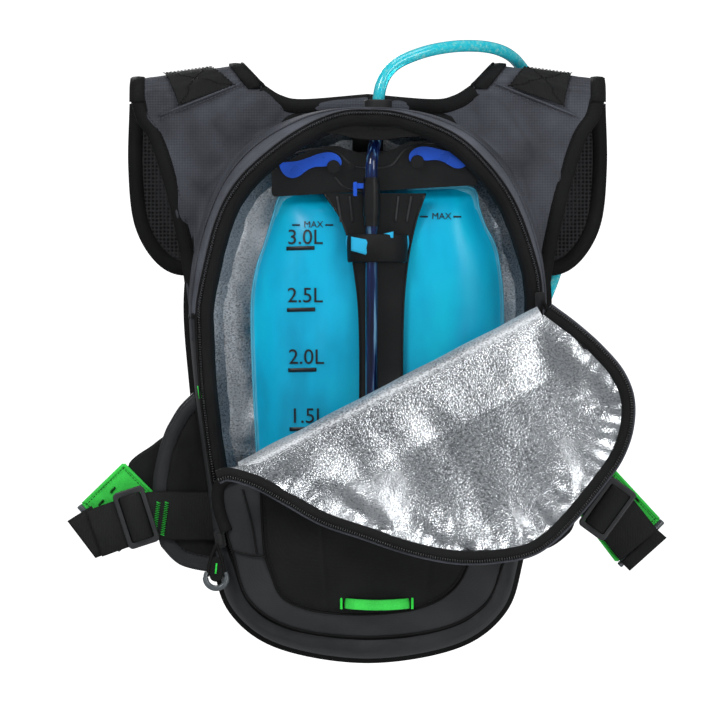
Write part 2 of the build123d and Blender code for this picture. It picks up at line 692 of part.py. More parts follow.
# ---- hip wings and waist belt ---------------------------------------------------------
WING = [
    (138, -26), (148, -34), (158, -52), (164.5, -78), (166, -102), (161, -132),
    (147, -149), (124, -156), (124, -140), (130, -95), (137, -45),
]
BELT_LAYER = [(140, -40), (157, -50), (168, -58), (188, -76), (168, -100), (158, -128), (132, -134)]
BELT_Y = WING_BACK_Y - WING_THICK - GAP
TAB_Y = -30.5
ROD_Y = -36.0
for side, name in ((-1, "left"), (1, "right")):
    wing = smooth_slab([(x * side, z) for x, z in WING], WING_BACK_Y, WING_BACK_Y - WING_THICK)
    pieces[f"hip_wing_{name}"] = wing
    layer = corner_slab([(x * side, z) for x, z in BELT_LAYER], WING_BACK_Y + 4, WING_BACK_Y + GAP, 2)
    pieces[f"belt_layer_{name}"] = layer

BELT_LEFT = [(-127, -95), (-176, -95), (-231, -113), (-208, -146), (-172, -133), (-127, -133)]
BELT_RIGHT = [(130, -78), (170, -74), (187, -78), (229, -127), (200, -152), (157, -106), (128, -116)]
TAB_LEFT = [(-191, -73), (-171, -93), (-171, -122), (-191, -139), (-223, -106)]
TAB_RIGHT = [(193, -78), (229, -117), (196, -150), (171, -124), (171, -98)]
pieces["belt_webbing_left"] = corner_slab(BELT_LEFT, BELT_Y, BELT_Y - WEB_THICK)
pieces["belt_webbing_right"] = corner_slab(BELT_RIGHT, BELT_Y, BELT_Y - WEB_THICK)
pieces["belt_tab_left"] = corner_slab(TAB_LEFT, TAB_Y, TAB_Y - WEB_THICK)
pieces["belt_tab_right"] = corner_slab(TAB_RIGHT, TAB_Y, TAB_Y - WEB_THICK)
pieces["loop_bar_left"] = rod((-226, -106), (-193, -141), 2.4, ROD_Y)
pieces["loop_bar_right"] = rod((231, -118), (197, -153), 2.4, ROD_Y)

# Tri-glides: two windows either side of a middle bar, lying on the webbing.
TRIGLIDE_WIDE = 46.0
TRIGLIDE_LONG = 25.5
TRIGLIDE_Y = BELT_Y - WEB_THICK - GAP
TRIGLIDE_LEFT = (-181.0, -115.0)
TRIGLIDE_RIGHT = (187.5, -108.5)
TRIGLIDE_LEFT_TURN = 18.0
TRIGLIDE_RIGHT_TURN = -36.0
TRIGLIDE_THICK = 3.4
TRIGLIDE_WINDOW = 6.4
TRIGLIDE_FRAME = 4.5


def triglide(place, turn):
    """A webbing slide, turned so that its short side lies along the webbing."""
    lean = math.radians(turn)
    plane = Plane(origin=(place[0], TRIGLIDE_Y, place[1]), x_dir=(math.cos(lean), 0, math.sin(lean)),
                  z_dir=(0, -1, 0))
    with BuildPart() as piece:
        with BuildSketch(plane):
            RectangleRounded(TRIGLIDE_LONG, TRIGLIDE_WIDE, 4)
            with Locations((6, 0), (-6, 0)):
                RectangleRounded(TRIGLIDE_WINDOW, TRIGLIDE_WIDE - 2 * TRIGLIDE_FRAME, 1.5,
                                 mode=Mode.SUBTRACT)
        extrude(amount=TRIGLIDE_THICK)
        fillet(piece.faces().sort_by(Axis.Y)[0].outer_wire().edges(), 1.2)
    return piece


pieces["triglide_left"] = triglide(TRIGLIDE_LEFT, TRIGLIDE_LEFT_TURN)
pieces["triglide_right"] = triglide(TRIGLIDE_RIGHT, TRIGLIDE_RIGHT_TURN)

# ---- drinking hose --------------------------------------------------------------------
# The hose arcs from the port over the right shoulder, then hangs behind the strap pad.
HOSE_ARC = [
    (PORT_X, PORT_Y, 204), (8.4, -57.8, 220), (18, -53, 238), (40, -45, 248), (60, -35, 253),
    (80, -22, 255), (99, -6, 254), (113, 12, 249), (122, 28, 240),
]
HOSE_DROP = [
    (134, 40, 223), (140, 42, 204), (147, 42, 180), (152, 41, 152),
    (155, 40, 124), (154, 39, 98), (149, 38, 76), (140, 36, 54), (131, 34, 28),
    (122, 32, -2), (112, 31, -34), (103, 31, -66), (95, 31, -96), (89, 31, -124),
]
pieces["drinking_hose_arc"] = hose(HOSE_ARC, HOSE_RADIUS)
pieces["drinking_hose_drop"] = hose(HOSE_DROP, HOSE_RADIUS)

# The mouthpiece: a stem pushed on the hose and a soft valve.
STEM_RADIUS = 6.5
STEM_LONG = 22.0
VALVE_RADIUS = 9.0
VALVE_LONG = 20.0
STEM_GAP = 0.2
valve_start = Vector(HOSE_DROP[-1])
valve_way = (valve_start - Vector(HOSE_DROP[-2])).normalized()
with BuildPart() as bite_valve:
    with BuildSketch(Plane(origin=valve_start + valve_way * STEM_GAP, z_dir=valve_way)):
        Circle(STEM_RADIUS)
    extrude(amount=STEM_LONG)
    with BuildSketch(Plane(origin=valve_start + valve_way * (STEM_GAP + STEM_LONG), z_dir=valve_way)):
        Circle(VALVE_RADIUS)
    extrude(amount=VALVE_LONG)
    fillet(bite_valve.edges().filter_by(GeomType.CIRCLE).group_by(Axis.Z)[0], 3)
pieces["bite_valve"] = bite_valve

# A clip on the back of the strap pad holds the hose.
CLIP_CENTRE = Vector(HOSE_DROP[3])
clip_way = Vector(HOSE_DROP[2]) - Vector(HOSE_DROP[4])
with BuildPart() as hose_clip:
    with Locations((CLIP_CENTRE.X, PAD_Y + PAD_THICK + 3.3, CLIP_CENTRE.Z)):
        Box(22, 5, 14)
    with Locations(Plane(origin=CLIP_CENTRE, z_dir=clip_way)):
        Cylinder(8, 12)
        Cylinder(HOSE_RADIUS + 1.2, 40, mode=Mode.SUBTRACT)
pieces["hose_clip"] = hose_clip

# ---- write the pieces -----------------------------------------------------------------
for name, piece in pieces.items():
    piece.part.label = name
    export_step(piece.part, f"parts/{name}.step")
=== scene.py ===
"""Blender looks for the hydration pack: cloth, foil, film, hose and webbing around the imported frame.
Lengths in the tables below are millimetres in the frame's axes: X right, Z up, the front faces -Y."""
import bpy
import bmesh
import math
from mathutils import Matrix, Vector, noise


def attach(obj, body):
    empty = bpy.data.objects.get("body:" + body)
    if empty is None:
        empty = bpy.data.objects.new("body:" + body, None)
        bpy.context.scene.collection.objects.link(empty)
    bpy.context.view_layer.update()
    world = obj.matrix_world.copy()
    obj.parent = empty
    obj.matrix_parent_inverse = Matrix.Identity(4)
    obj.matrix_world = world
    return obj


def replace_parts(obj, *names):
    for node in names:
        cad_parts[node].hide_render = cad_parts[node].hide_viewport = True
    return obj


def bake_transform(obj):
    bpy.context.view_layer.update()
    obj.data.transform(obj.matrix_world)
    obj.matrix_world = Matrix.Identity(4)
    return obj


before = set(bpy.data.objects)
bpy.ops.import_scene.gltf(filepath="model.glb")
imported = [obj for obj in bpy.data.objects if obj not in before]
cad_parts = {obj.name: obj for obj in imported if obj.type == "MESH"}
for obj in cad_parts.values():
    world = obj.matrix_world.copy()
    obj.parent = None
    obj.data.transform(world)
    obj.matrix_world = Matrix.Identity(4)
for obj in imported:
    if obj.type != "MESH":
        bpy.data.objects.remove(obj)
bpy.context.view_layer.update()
MM = 0.001
FRONT = Vector((0, -1, 0))
BACKWARD = Vector((0, 1, 0))
SIDES = ((-1, "left"), (1, "right"))

# ---- outlines (x, z) ------------------------------------------------------------------
TEETH = [
    (0, 200), (28, 197), (66, 182), (92, 159), (112.5, 129.5), (127, 91), (133, 60), (131, 10),
    (126, -38), (117, -97), (110, -128), (103, -150), (90, -180), (58, -199), (0, -206),
    (-58, -199), (-90, -180), (-103, -148), (-110, -128), (-117, -97), (-122, -67.5), (-126, -37),
    (-129, -8), (-131, 40), (-129.5, 59), (-124, 85), (-116, 115), (-105, 138), (-87, 159),
    (-56, 183), (-25, 197.5),
]
BACK_HALF = [
    (0, 206), (55, 199), (100, 172), (128, 122), (140, 62), (136, -10),
    (125, -95), (117, -150), (104, -188), (68, -214), (0, -225),
]
BACK = BACK_HALF + [(-x, z) for x, z in reversed(BACK_HALF[1:-1])]
LOWER = [
    (-96, -80), (-112, -88), (-113, -105), (-109, -127), (-104, -143), (-92, -178), (-58, -200), (0, -207),
    (58, -200), (92, -180), (105, -148), (110, -128), (117, -97), (126, -38), (130, 8), (130, 38),
]
CENTRE = [
    (-83, -80), (-82, -112), (-80, -140), (-75, -157), (-67, -175), (-51, -184), (-32, -188), (-7, -189.5),
    (20, -188), (41, -184), (60, -175), (74, -159), (82, -130), (86, -60), (88, 8),
]
FLAP_EDGE = [
    (141, 50), (161, 35), (180, 18), (196, -1), (204, -22), (203, -46), (195, -68), (182, -87),
    (161, -113), (142, -132), (123, -143), (92, -148), (68, -148), (44, -144), (22, -138),
    (-4, -129), (-36, -118), (-63, -103), (-87, -90), (-106, -84), (-114, -86),
]
BAG = [
    (-68, 136), (-74, 118), (-80, 98), (-86, 80), (-90, 52), (-89, 0), (-86, -60), (-82, -118), (-62, -166),
    (8, -181), (82, -168), (102, -110), (105, -30), (105, 50), (103, 76), (99, 97), (91, 113), (86, 128),
    (84, 139), (77, 143), (45, 142), (8, 140), (-30, 138.5), (-58, 138.5),
]
NECK = [(0, 217), (50, 213), (68, 216), (82, 224.5)]
YOKE_SIDE = [(186, 212), (181, 196), (171, 180), (159, 143), (150, 105), (145, 78), (141, 45), (136, -10)]
PAD_EDGE = [(187, 160), (182, 115), (165, 86), (143, 77), (116, 88), (101, 125)]
BELT_LAYER = [(140, -40), (157, -50), (168, -58), (188, -76), (168, -100), (158, -128), (132, -134)]
HOSE_ROUTE = [
    (8, -58, 204), (8.4, -57.8, 220), (18, -53, 238), (40, -45, 248), (60, -35, 253),
    (80, -22, 255), (99, -6, 254), (113, 12, 249), (122, 28, 240), (134, 40, 223),
    (140, 42, 204), (147, 42, 180), (152, 41, 152), (155, 40, 124), (154, 39, 98),
    (149, 38, 76), (140, 36, 54), (131, 34, 28), (122, 32, -2), (112, 31, -34),
    (103, 31, -66), (95, 31, -96), (89, 31, -124),
]
# The two ends of the waist: bound is how much of the wing's outline has binding, root the wing's height.
WAIST = {
    "left": {
        "wing": [(135, -19), (145, -29), (152, -40), (157, -50), (163, -70), (166, -93), (161.5, -131),
                 (157, -140), (148, -149), (138, -153), (122, -156), (116, -140), (119, -95), (128, -45)],
        "bound": 11, "root": 132,
        "belt": [(-108, -114), (-140, -114), (-168, -114), (-190, -119.5), (-214, -128)],
        "end": [(-216, -106), (-194, -140), (-213, -147), (-235, -118)],
        "tab": [(-191, -73), (-167, -97), (-192, -137), (-224, -105)],
        "tacks": [(-198, -92), (-207, -102)], "glide": (-181, -115), "turn": 18,
    },
    "right": {
        "wing": [(135, -19), (145, -29), (152, -40), (157, -50), (162, -70), (163, -90), (158, -112),
                 (149, -124), (136, -131), (122, -134), (117, -120), (121, -90), (128, -45)],
        "bound": 9, "root": 110,
        "belt": [(110, -97), (140, -92), (165, -90), (182, -100), (212, -137)],
        "end": [(226, -124), (198, -150), (205, -157), (234, -131)],
        "tab": [(193, -78), (166, -112), (195, -150), (229, -117)],
        "tacks": [(204, -93), (209, -99)], "glide": (187.5, -108.5), "turn": -36,
    },
}

# ---- driving sizes --------------------------------------------------------------------
RING = 300
WAIST_SEAM_Z = 42
SEWN_Z = -140
FLAP_Y = -147.0
FOLD_LEFT = Vector((-102.0, -72.0))
FOLD_RIGHT = Vector((138.0, 52.0))
FOLD_WAY = (FOLD_RIGHT - FOLD_LEFT).normalized()
FOLD_UP = Vector((-FOLD_WAY.y, FOLD_WAY.x))
ROLL_MIDDLE = -8.0
ROLL_HIGH = 9.0
ROLL_Y = -126.0
ROLL_DEEP = 20.0
NECK_CORNER = Vector((99.0, 224.0))
OUTER_CORNER = Vector((186.0, 212.0))
ARCH_Y = 7.0
ARCH_RADIUS = 17.0
HOSE_RADIUS = 4.75
BINDING_WIDE = 9.5
STRAP_WIDE = 24
BELT_WIDE = 38
BELT_Y = -44.6
TOOTH_PITCH = 1.9
TOOTH_SHAPE = (1.05, 2.9, 1.5)
STITCH = (2.3, 0.5, 0.5)


# ---- curves ---------------------------------------------------------------------------
def shares(count):
    """Evenly spaced shares from 0 to 1."""
    return [k / count for k in range(count + 1)]


def between(a, b, count):
    """Evenly spaced points from a to b."""
    return [Vector(a).lerp(Vector(b), share) for share in shares(count)]


def catmull(a, b, c, d, t):
    """One point of a Catmull-Rom curve between b and c."""
    return 0.5 * (2 * b + (c - a) * t + (2 * a - 5 * b + 4 * c - d) * t * t
                  + (3 * b - a - 3 * c + d) * t * t * t)


def smooth(points, count, closed=False):
    """A smooth curve through the points, as evenly spaced vectors."""
    vectors = [Vector(p) for p in points]
    n = len(vectors)
    dense = []
    for i in range(n if closed else n - 1):
        if closed:
            a, b, c, d = (vectors[(i + k) % n] for k in (-1, 0, 1, 2))
        else:
            b, c = vectors[i], vectors[i + 1]
            a = vectors[i - 1] if i else b * 2 - c
            d = vectors[i + 2] if i + 2 < n else c * 2 - b
        dense.extend(catmull(a, b, c, d, k / 12) for k in range(12))
    dense.append(vectors[0] if closed else vectors[-1])
    return spaced(dense, count, closed)


def spaced(points, count, closed=False):
    """Evenly spaced points along a polyline."""
    lengths = [0.0]
    for a, b in zip(points, points[1:]):
        lengths.append(lengths[-1] + (b - a).length)
    steps = count if closed else count - 1
    found = []
    j = 0
    for i in range(count):
        at = lengths[-1] * i / steps
        while j < len(lengths) - 2 and lengths[j + 1] < at:
            j += 1
        run = lengths[j + 1] - lengths[j]
        found.append(points[j].lerp(points[j + 1], (at - lengths[j]) / run if run else 0))
    return found


def tangents(path, closed=False):
    """The direction at each point of a path."""
    n = len(path)
    ways = []
    for i, p in enumerate(path):
        before = path[(i - 1) % n] if closed or i else p
        after = path[(i + 1) % n] if closed or i + 1 < n else p
        ways.append((after - before).normalized())
    return ways


def shifted(run, distance, closed=False):
    """A flat run moved to the left of its way, which is outward on a clockwise loop."""
    return [p + Vector((-way.y, way.x)) * distance for p, way in zip(run, tangents(run, closed))]


def at_depth(run, y, side=1):
    """Flat (x, z) points at a depth, a number or a function of x and z; side -1 mirrors them."""
    return [Vector((side * p.x, y(p.x, p.y) if callable(y) else y, p.y)) for p in run]


def beside(run, distance, y, side=1, closed=False):
    """A flat run moved sideways and placed at a depth."""
    return at_depth(shifted(run, distance, closed), y, side)


def mirrored(points, side):
    """Flat points as they are on the right side, or mirrored for the left."""
    return [(side * x, z) for x, z in points]


def wrinkle(x, y, z, size, seed=0.0):
    """Smooth noise between about -1 and 1, with bumps of this size in millimetres."""
    return noise.noise(Vector((x / size + seed, y / size - seed, z / size + 2 * seed)))


# ---- meshes ---------------------------------------------------------------------------
def placed(name, data):
    """A new object in the scene."""
    made = bpy.data.objects.new(name, data)
    bpy.context.scene.collection.objects.link(made)
    return made


def mended(mesh, mend):
    """Apply a bmesh edit to a mesh and turn its faces outward."""
    edit = bmesh.new()
    edit.from_mesh(mesh)
    mend(edit)
    bmesh.ops.recalc_face_normals(edit, faces=edit.faces)
    edit.to_mesh(mesh)
    edit.free()


def piece(name, points, faces, material, body):
    """A smooth mesh object from points in millimetres, riding on a body, or on none if body is None."""
    mesh = bpy.data.meshes.new(name)
    mesh.from_pydata([Vector(p) * MM for p in points], [], faces)
    mended(mesh, lambda edit: bmesh.ops.remove_doubles(edit, verts=edit.verts, dist=0.00001))
    for face in mesh.polygons:
        face.use_smooth = True
    mesh.materials.append(material)
    made = placed(name, mesh)
    if body:
        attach(made, body)
    return made


def lofted(name, rows, material, body="pack", closed=False, around=False):
    """A surface through rows of points. closed joins each row's ends, around joins first to last."""
    n = len(rows[0])
    faces = []
    for i in range(len(rows) if around else len(rows) - 1):
        k = (i + 1) % len(rows)
        for j in range(n if closed else n - 1):
            m = (j + 1) % n
            faces.append((i * n + j, i * n + m, k * n + m, k * n + j))
    return piece(name, [p for row in rows for p in row], faces, material, body)


def capped(edit):
    """Fill the open ends."""
    bmesh.ops.holes_fill(edit, edges=[e for e in edit.edges if e.is_boundary])


def lengthwise(name, rows, material, body, around):
    """A closed section lofted along a path, with its ends capped unless it goes around."""
    made = lofted(name, rows, material, body, True, around)
    if not around:
        mended(made.data, capped)
    return made


def fanned(outline, centre):
    """The outline without the points that turn back about the centre."""
    middle = Vector(centre)
    ways = [p - middle for p in outline]
    turns = [math.atan2(a.x * b.y - a.y * b.x, a.dot(b)) for a, b in zip(ways, ways[1:] + ways[:1])]
    total = sum(turns)
    sense = 1 if total > 0 else -1
    kept = [outline[0]]
    turned = 0.0
    furthest = 0.0
    for p, turn in zip(outline[1:], turns):
        turned += sense * turn
        if furthest + 0.002 < turned < abs(total) - 0.002:
            kept.append(p)
            furthest = turned
    return kept


def filled(name, outline, centre, rings, front, material, body="pack", back=None):
    """A sheet filling an outline with rings round a centre; with back, a closed pad.
    front and back are depths: numbers, or functions of x, z and the share from centre to edge."""
    n = len(outline)
    middle = Vector(centre)
    points = []
    faces = []

    def side(depth):
        """One face of the pad, from its centre out to the edge."""
        start = len(points)
        at = depth if callable(depth) else lambda x, z, u: depth
        points.append(Vector((middle.x, at(middle.x, middle.y, 0.0), middle.y)))
        for r in range(1, rings + 1):
            u = r / rings
            for p in outline:
                q = middle.lerp(p, u)
                points.append(Vector((q.x, at(q.x, q.y, u), q.y)))
        for j in range(n):
            faces.append((start, start + 1 + j, start + 1 + (j + 1) % n))
        for r in range(rings - 1):
            for j in range(n):
                a = start + 1 + r * n
                m = (j + 1) % n
                faces.append((a + j, a + n + j, a + n + m, a + m))
        return start + 1 + (rings - 1) * n

    first = side(front)
    if back:
        second = side(back)
        for j in range(n):
            m = (j + 1) % n
            faces.append((first + j, first + m, second + m, second + j))
    return piece(name, points, faces, material, body)


def ribbon(name, path, width, thick, material, body="pack", facing=FRONT, closed=False, crown=0.3):
    """A flat band along a path, its face toward a direction (or one direction for each point)."""
    section = [(-0.5, 0), (-0.46, 0.5), (0, 0.5 + crown), (0.46, 0.5), (0.5, 0), (0.46, -0.5), (-0.46, -0.5)]
    rows = []
    for i, (p, way) in enumerate(zip(path, tangents(path, closed))):
        face = facing[i] if isinstance(facing, list) else facing
        out = (face - way * face.dot(way)).normalized()
        across = way.cross(out)
        rows.append([p + across * (s * width) + out * (h * thick) for s, h in section])
    return lengthwise(name, rows, material, body, closed)


def tube(name, path, radius, material, body="pack", sides=8, closed=False):
    """A round tube along a path. radius is a number or one for each point."""
    ways = tangents(path, closed)
    up = ways[0].orthogonal().normalized()
    rows = []
    for i, (p, way) in enumerate(zip(path, ways)):
        up = (up - way * up.dot(way)).normalized()
        across = way.cross(up)
        r = radius[i] if isinstance(radius, list) else radius
        rows.append([p + (up * math.cos(a) + across * math.sin(a)) * r
                     for a in (2 * math.pi * k / sides for k in range(sides))])
    return lengthwise(name, rows, material, body, closed)


def beads(name, path, pitch, shape, material, body="pack"):
    """A row of small rounded blocks along a path: stitches or zip teeth. shape is (along, across, high)."""
    total = sum((b - a).length for a, b in zip(path, path[1:]))
    line = spaced(path, max(2, int(total / pitch)))
    points = []
    faces = []
    along_half, across_half, high_half = (s / 2 for s in shape)
    for p, way in zip(line, tangents(line)):
        out = (FRONT - way * FRONT.dot(way)).normalized()
        across = way.cross(out)
        start = len(points)
        for s, grow in ((-1, 0.55), (-0.6, 1), (0.6, 1), (1, 0.55)):
            for c, h in ((-1, -0.6), (-0.7, 0.6), (0, 1), (0.7, 0.6), (1, -0.6)):
                points.append(p + way * (s * along_half) + across * (c * across_half * grow)
                              + out * (h * high_half * grow))
        for r in range(3):
            for c in range(5):
                a = start + r * 5 + c
                b = start + r * 5 + (c + 1) % 5
                faces.append((a, b, b + 5, a + 5))
        for end in (start, start + 15):
            faces.append(tuple(end + c for c in range(5)))
    return piece(name, points, faces, material, body)


def panel(name, corners, y, thick, material, body="pack", cells=(14, 14), puff=0.4):
    """A flat four-cornered piece of webbing or cloth with rounded edges and slight waves."""
    a, b, c, d = (Vector(p) for p in corners)
    wide, tall = cells
    front = []
    back = []
    for s in shares(wide):
        for t in shares(tall):
            p = a.lerp(b, s).lerp(d.lerp(c, s), t)
            edge = min(1.0, 6 * min(s, 1 - s, t, 1 - t)) ** 0.5
            middle = y - wrinkle(p.x, y, p.y, 22, 1) * puff
            front.append(Vector((p.x, middle - thick * (0.5 + 0.5 * edge) * 0.5, p.y)))
            back.append(Vector((p.x, middle + thick * 0.5 * edge, p.y)))
    n = tall + 1
    half = len(front)
    faces = []
    for i in range(wide):
        for j in range(tall):
            q = (i * n + j, i * n + j + 1, (i + 1) * n + j + 1, (i + 1) * n + j)
            faces.append(q)
            faces.append(tuple(half + v for v in reversed(q)))
    rim = [i * n for i in range(wide)] + [wide * n + j for j in range(tall)]
    rim += [i * n + tall for i in range(wide, 0, -1)] + [j for j in range(tall, 0, -1)]
    for v, w in zip(rim, rim[1:] + rim[:1]):
        faces.append((v, w, half + w, half + v))
    return piece(name, front + back, faces, material, body)


# ---- materials ------------------------------------------------------------------------
class Look:
    """A procedural material: nodes feeding a Principled shader."""

    def __init__(self, name, **sockets):
        self.material = bpy.data.materials.new(name)
        self.material.use_nodes = True
        self.nodes = self.material.node_tree.nodes
        self.links = self.material.node_tree.links
        self.shader = self.nodes["Principled BSDF"]
        self.set(self.shader, **sockets)
        self.place = self.nodes.new("ShaderNodeTexCoord").outputs["Object"]
        self.height = None

    def feed(self, socket, value):
        """Link an output to an input, or give the input a plain value."""
        if isinstance(value, bpy.types.NodeSocket):
            self.links.new(value, socket)
        else:
            socket.default_value = value

    def set(self, node, **inputs):
        """Feed a node's inputs by name, with _ for a space."""
        for name, value in inputs.items():
            self.feed(node.inputs[name.replace("_", " ")], value)
        return node

    def add(self, kind, **inputs):
        """A new node with these inputs."""
        return self.set(self.nodes.new("ShaderNode" + kind), **inputs)

    def stretched(self, x, y, z):
        """The place scaled on each axis, for threads that are longer one way."""
        return self.add("Mapping", Vector=self.place, Scale=(x, y, z)).outputs["Vector"]

    def noise(self, scale, detail=3.0, place=None):
        return self.add("TexNoise", Scale=scale, Detail=detail, Vector=place or self.place).outputs["Fac"]

    def cells(self, scale, randomness=0.2):
        node = self.add("TexVoronoi", Scale=scale, Randomness=randomness, Vector=self.place)
        return node.outputs["Distance"]

    def wave(self, scale, direction):
        node = self.add("TexWave", Scale=scale, Vector=self.place)
        node.bands_direction = direction
        return node.outputs["Fac"]

    def join(self, a, b, operation="MULTIPLY"):
        node = self.nodes.new("ShaderNodeMath")
        node.operation = operation
        self.feed(node.inputs[0], a)
        self.feed(node.inputs[1], b)
        return node.outputs[0]

    def mixed(self, a, much_a, b, much_b):
        """The sum of two patterns, each in its amount."""
        return self.join(self.join(a, much_a), self.join(b, much_b), "ADD")

    def spread(self, value, low, high):
        return self.add("MapRange", Value=value, To_Min=low, To_Max=high).outputs["Result"]

    def colour(self, value, stops):
        """Colour the surface by a pattern, through (place, colour) stops."""
        node = self.add("ValToRGB", Fac=value)
        while len(node.color_ramp.elements) < len(stops):
            node.color_ramp.elements.new(0.5)
        for element, (at, colour) in zip(node.color_ramp.elements, stops):
            element.position = at
            element.color = (*colour, 1)
        self.set(self.shader, Base_Color=node.outputs["Color"])

    def rough(self, value, low, high):
        self.set(self.shader, Roughness=self.spread(value, low, high))

    def bump(self, value, strength, distance):
        """Raise the surface by a pattern, on top of the bumps before it."""
        node = self.add("Bump", Strength=strength, Distance=distance * MM, Height=value)
        if self.height:
            self.set(node, Normal=self.height)
        self.height = node.outputs["Normal"]
        self.set(self.shader, Normal=self.height)


def shade(colour, amount):
    """A colour made lighter or darker."""
    return tuple(min(1.0, c * amount) for c in colour)


def cloth(name, colour, cell, depth, rough=(0.6, 0.85), vary=0.18, randomness=0.25, gloss=0.18):
    """Woven or honeycomb cloth with a fine cell pattern, uneven dye and soft creases."""
    look = Look(name, Specular_IOR_Level=gloss)
    weave = look.cells(1000 / cell, randomness)
    mottle = look.noise(28, 5)
    threads = look.join(look.spread(weave, 0.25, -0.2), mottle, "ADD")
    look.colour(threads, [(0.25, shade(colour, 1 - vary)), (0.75, shade(colour, 1 + vary))])
    look.rough(mottle, *rough)
    look.bump(weave, 0.7, depth)
    look.bump(look.noise(90, 4), 0.25, 1.0)
    return look.material


def webbed(name, colour, rib=1.3, thread=0.7):
    """Webbing: ribs one way crossed by fine threads, their pitches in millimetres."""
    look = Look(name, Specular_IOR_Level=0.2)
    ribs = look.wave(2 * math.pi * 1000 / rib / 20, "X")
    threads = look.wave(2 * math.pi * 1000 / thread / 20, "Z")
    weave = look.join(ribs, threads)
    mottle = look.noise(40, 4)
    look.colour(look.mixed(weave, 0.4, mottle, 0.7), [(0.25, shade(colour, 0.7)), (0.8, shade(colour, 1.35))])
    look.rough(mottle, 0.5, 0.75)
    look.bump(weave, 0.6, 0.3)
    return look.material


def moulded(name, colour, rough, coat=0.0):
    """Moulded plastic with a faint grain and uneven gloss."""
    look = Look(name, Coat_Weight=coat)
    mottle = look.noise(60, 4)
    look.colour(mottle, [(0.3, shade(colour, 0.85)), (0.75, shade(colour, 1.15))])
    look.rough(mottle, *rough)
    look.bump(look.noise(1400, 2), 0.12, 0.05)
    return look.material


def foil(name, metallic, rough, grain):
    """Silver coated cloth: bright metal, pressed into a fine pebble, with soft crinkles and large dark and
    bright patches in its colour, partly painted reflections.
    """
    look = Look(name, Metallic=metallic)
    pebble = look.noise(640, 2, look.stretched(1.0, 1.0, 1.35))
    weave = look.cells(900, 0.8)
    # Large patches of darker and lighter metal: partly random tone, partly painted reflections of the
    # surroundings.
    patches = look.noise(12, 3)
    look.colour(look.mixed(pebble, 0.62, patches, 0.38),
                [(0.34, (0.26, 0.27, 0.29)), (0.49, (0.74, 0.77, 0.80)), (0.62, (0.95, 0.97, 1.0))])
    look.rough(patches, *rough)
    look.bump(look.noise(55, 2), 0.25, 3.0)
    look.bump(pebble, grain, 0.7)
    look.bump(weave, 0.4, 0.35)
    return look.material


def film(name):
    """Blue reservoir film over water: saturated cyan with pale streaks and a soft gloss."""
    look = Look(name, Coat_Weight=0.2, Coat_Roughness=0.25, Specular_IOR_Level=0.3)
    streaks = look.noise(11, 3, look.stretched(2.2, 1.0, 0.7))
    cloud = look.noise(30, 4)
    look.colour(look.mixed(streaks, 0.8, cloud, 0.2),
                [(0.3, (0.0, 0.33, 0.58)), (0.5, (0.0, 0.54, 0.87)), (0.72, (0.0, 0.72, 1.0))])
    look.rough(cloud, 0.28, 0.42)
    look.bump(look.noise(900, 2), 0.1, 0.05)
    return look.material


def clear_hose(name, pale, deep, painted_highlight, run):
    """Clear coloured tube: glassy, with pale patches and painted highlights, drawn out along Z into painted
    highlight streaks when run is small.
    """
    look = Look(name, Coat_Weight=0.7, Coat_Roughness=0.05, Transmission_Weight=0.3, IOR=1.42)
    mottle = look.noise(330, 2, look.stretched(1.0, 1.0, run))
    # The brightest stop is a painted highlight: the pale glints of light along the glossy tube.
    look.colour(mottle, [(0.34, deep), (0.56, pale), (0.68, painted_highlight)])
    look.rough(mottle, 0.06, 0.14)
    look.bump(look.noise(260, 2), 0.08, 0.2)
    return look.material


def mesh_cloth(name):
    """Open air mesh: rows of dark holes in black thread."""
    look = Look(name, Specular_IOR_Level=0.2)
    holes = look.cells(330, 0.12)
    look.colour(holes, [(0.22, (0.002, 0.002, 0.002)), (0.5, (0.035, 0.035, 0.038))])
    look.rough(holes, 0.6, 0.85)
    look.bump(holes, 1.0, 1.2)
    look.bump(look.noise(1200, 2), 0.3, 0.2)
    return look.material


SLATE = cloth("slate_honeycomb", (0.070, 0.074, 0.089), 2.1, 0.5, vary=0.45, randomness=0.08)
CHARCOAL = cloth("charcoal_cloth", (0.036, 0.037, 0.040), 0.6, 0.10, (0.42, 0.62), 0.2)
BLACK = cloth("black_cloth", (0.0115, 0.0115, 0.012), 0.7, 0.15, (0.45, 0.7), 0.25)
BINDING = cloth("black_binding", (0.0085, 0.0085, 0.009), 1.3, 0.35, (0.6, 0.8), 0.4, 0.1)
STRIP = cloth("grey_strip", (0.10, 0.105, 0.125), 1.3, 0.3, vary=0.35, randomness=0.1)
MESH = mesh_cloth("air_mesh")
WEBBING = webbed("black_webbing", (0.016, 0.016, 0.0165))
GREEN = cloth("green_tape", (0.055, 0.72, 0.09), 0.9, 0.25, (0.45, 0.65), 0.25, 0.4)
THREAD = cloth("green_thread", (0.05, 0.85, 0.09), 0.3, 0.1, (0.4, 0.6), 0.2)
DARK_THREAD = cloth("black_thread", (0.006, 0.006, 0.006), 0.3, 0.1, (0.4, 0.6), 0.2)
GREY_THREAD = cloth("grey_thread", (0.10, 0.10, 0.12), 0.3, 0.1, (0.4, 0.6), 0.2)
FOIL = foil("silver_foil_cloth", 1.0, (0.18, 0.34), 0.5)
LINING = foil("silver_lining", 0.85, (0.22, 0.4), 0.7)
ROLL = foil("silver_roll", 0.85, (0.5, 0.7), 0.6)
FILM = film("blue_film")
FILM_EDGE = moulded("film_weld", (0.10, 0.52, 0.72), (0.15, 0.3), 0.4)
INK = moulded("printed_ink", (0.008, 0.009, 0.012), (0.35, 0.5))
BLACK_PLASTIC = moulded("black_plastic", (0.009, 0.009, 0.0095), (0.18, 0.3), 0.15)
SLIDE_PLASTIC = moulded("slide_plastic", (0.035, 0.036, 0.038), (0.3, 0.45))
BLUE_PLASTIC = moulded("blue_plastic", (0.012, 0.095, 0.62), (0.22, 0.34), 0.2)
GREY_PLASTIC = moulded("grey_plastic", (0.10, 0.115, 0.125), (0.2, 0.32), 0.3)
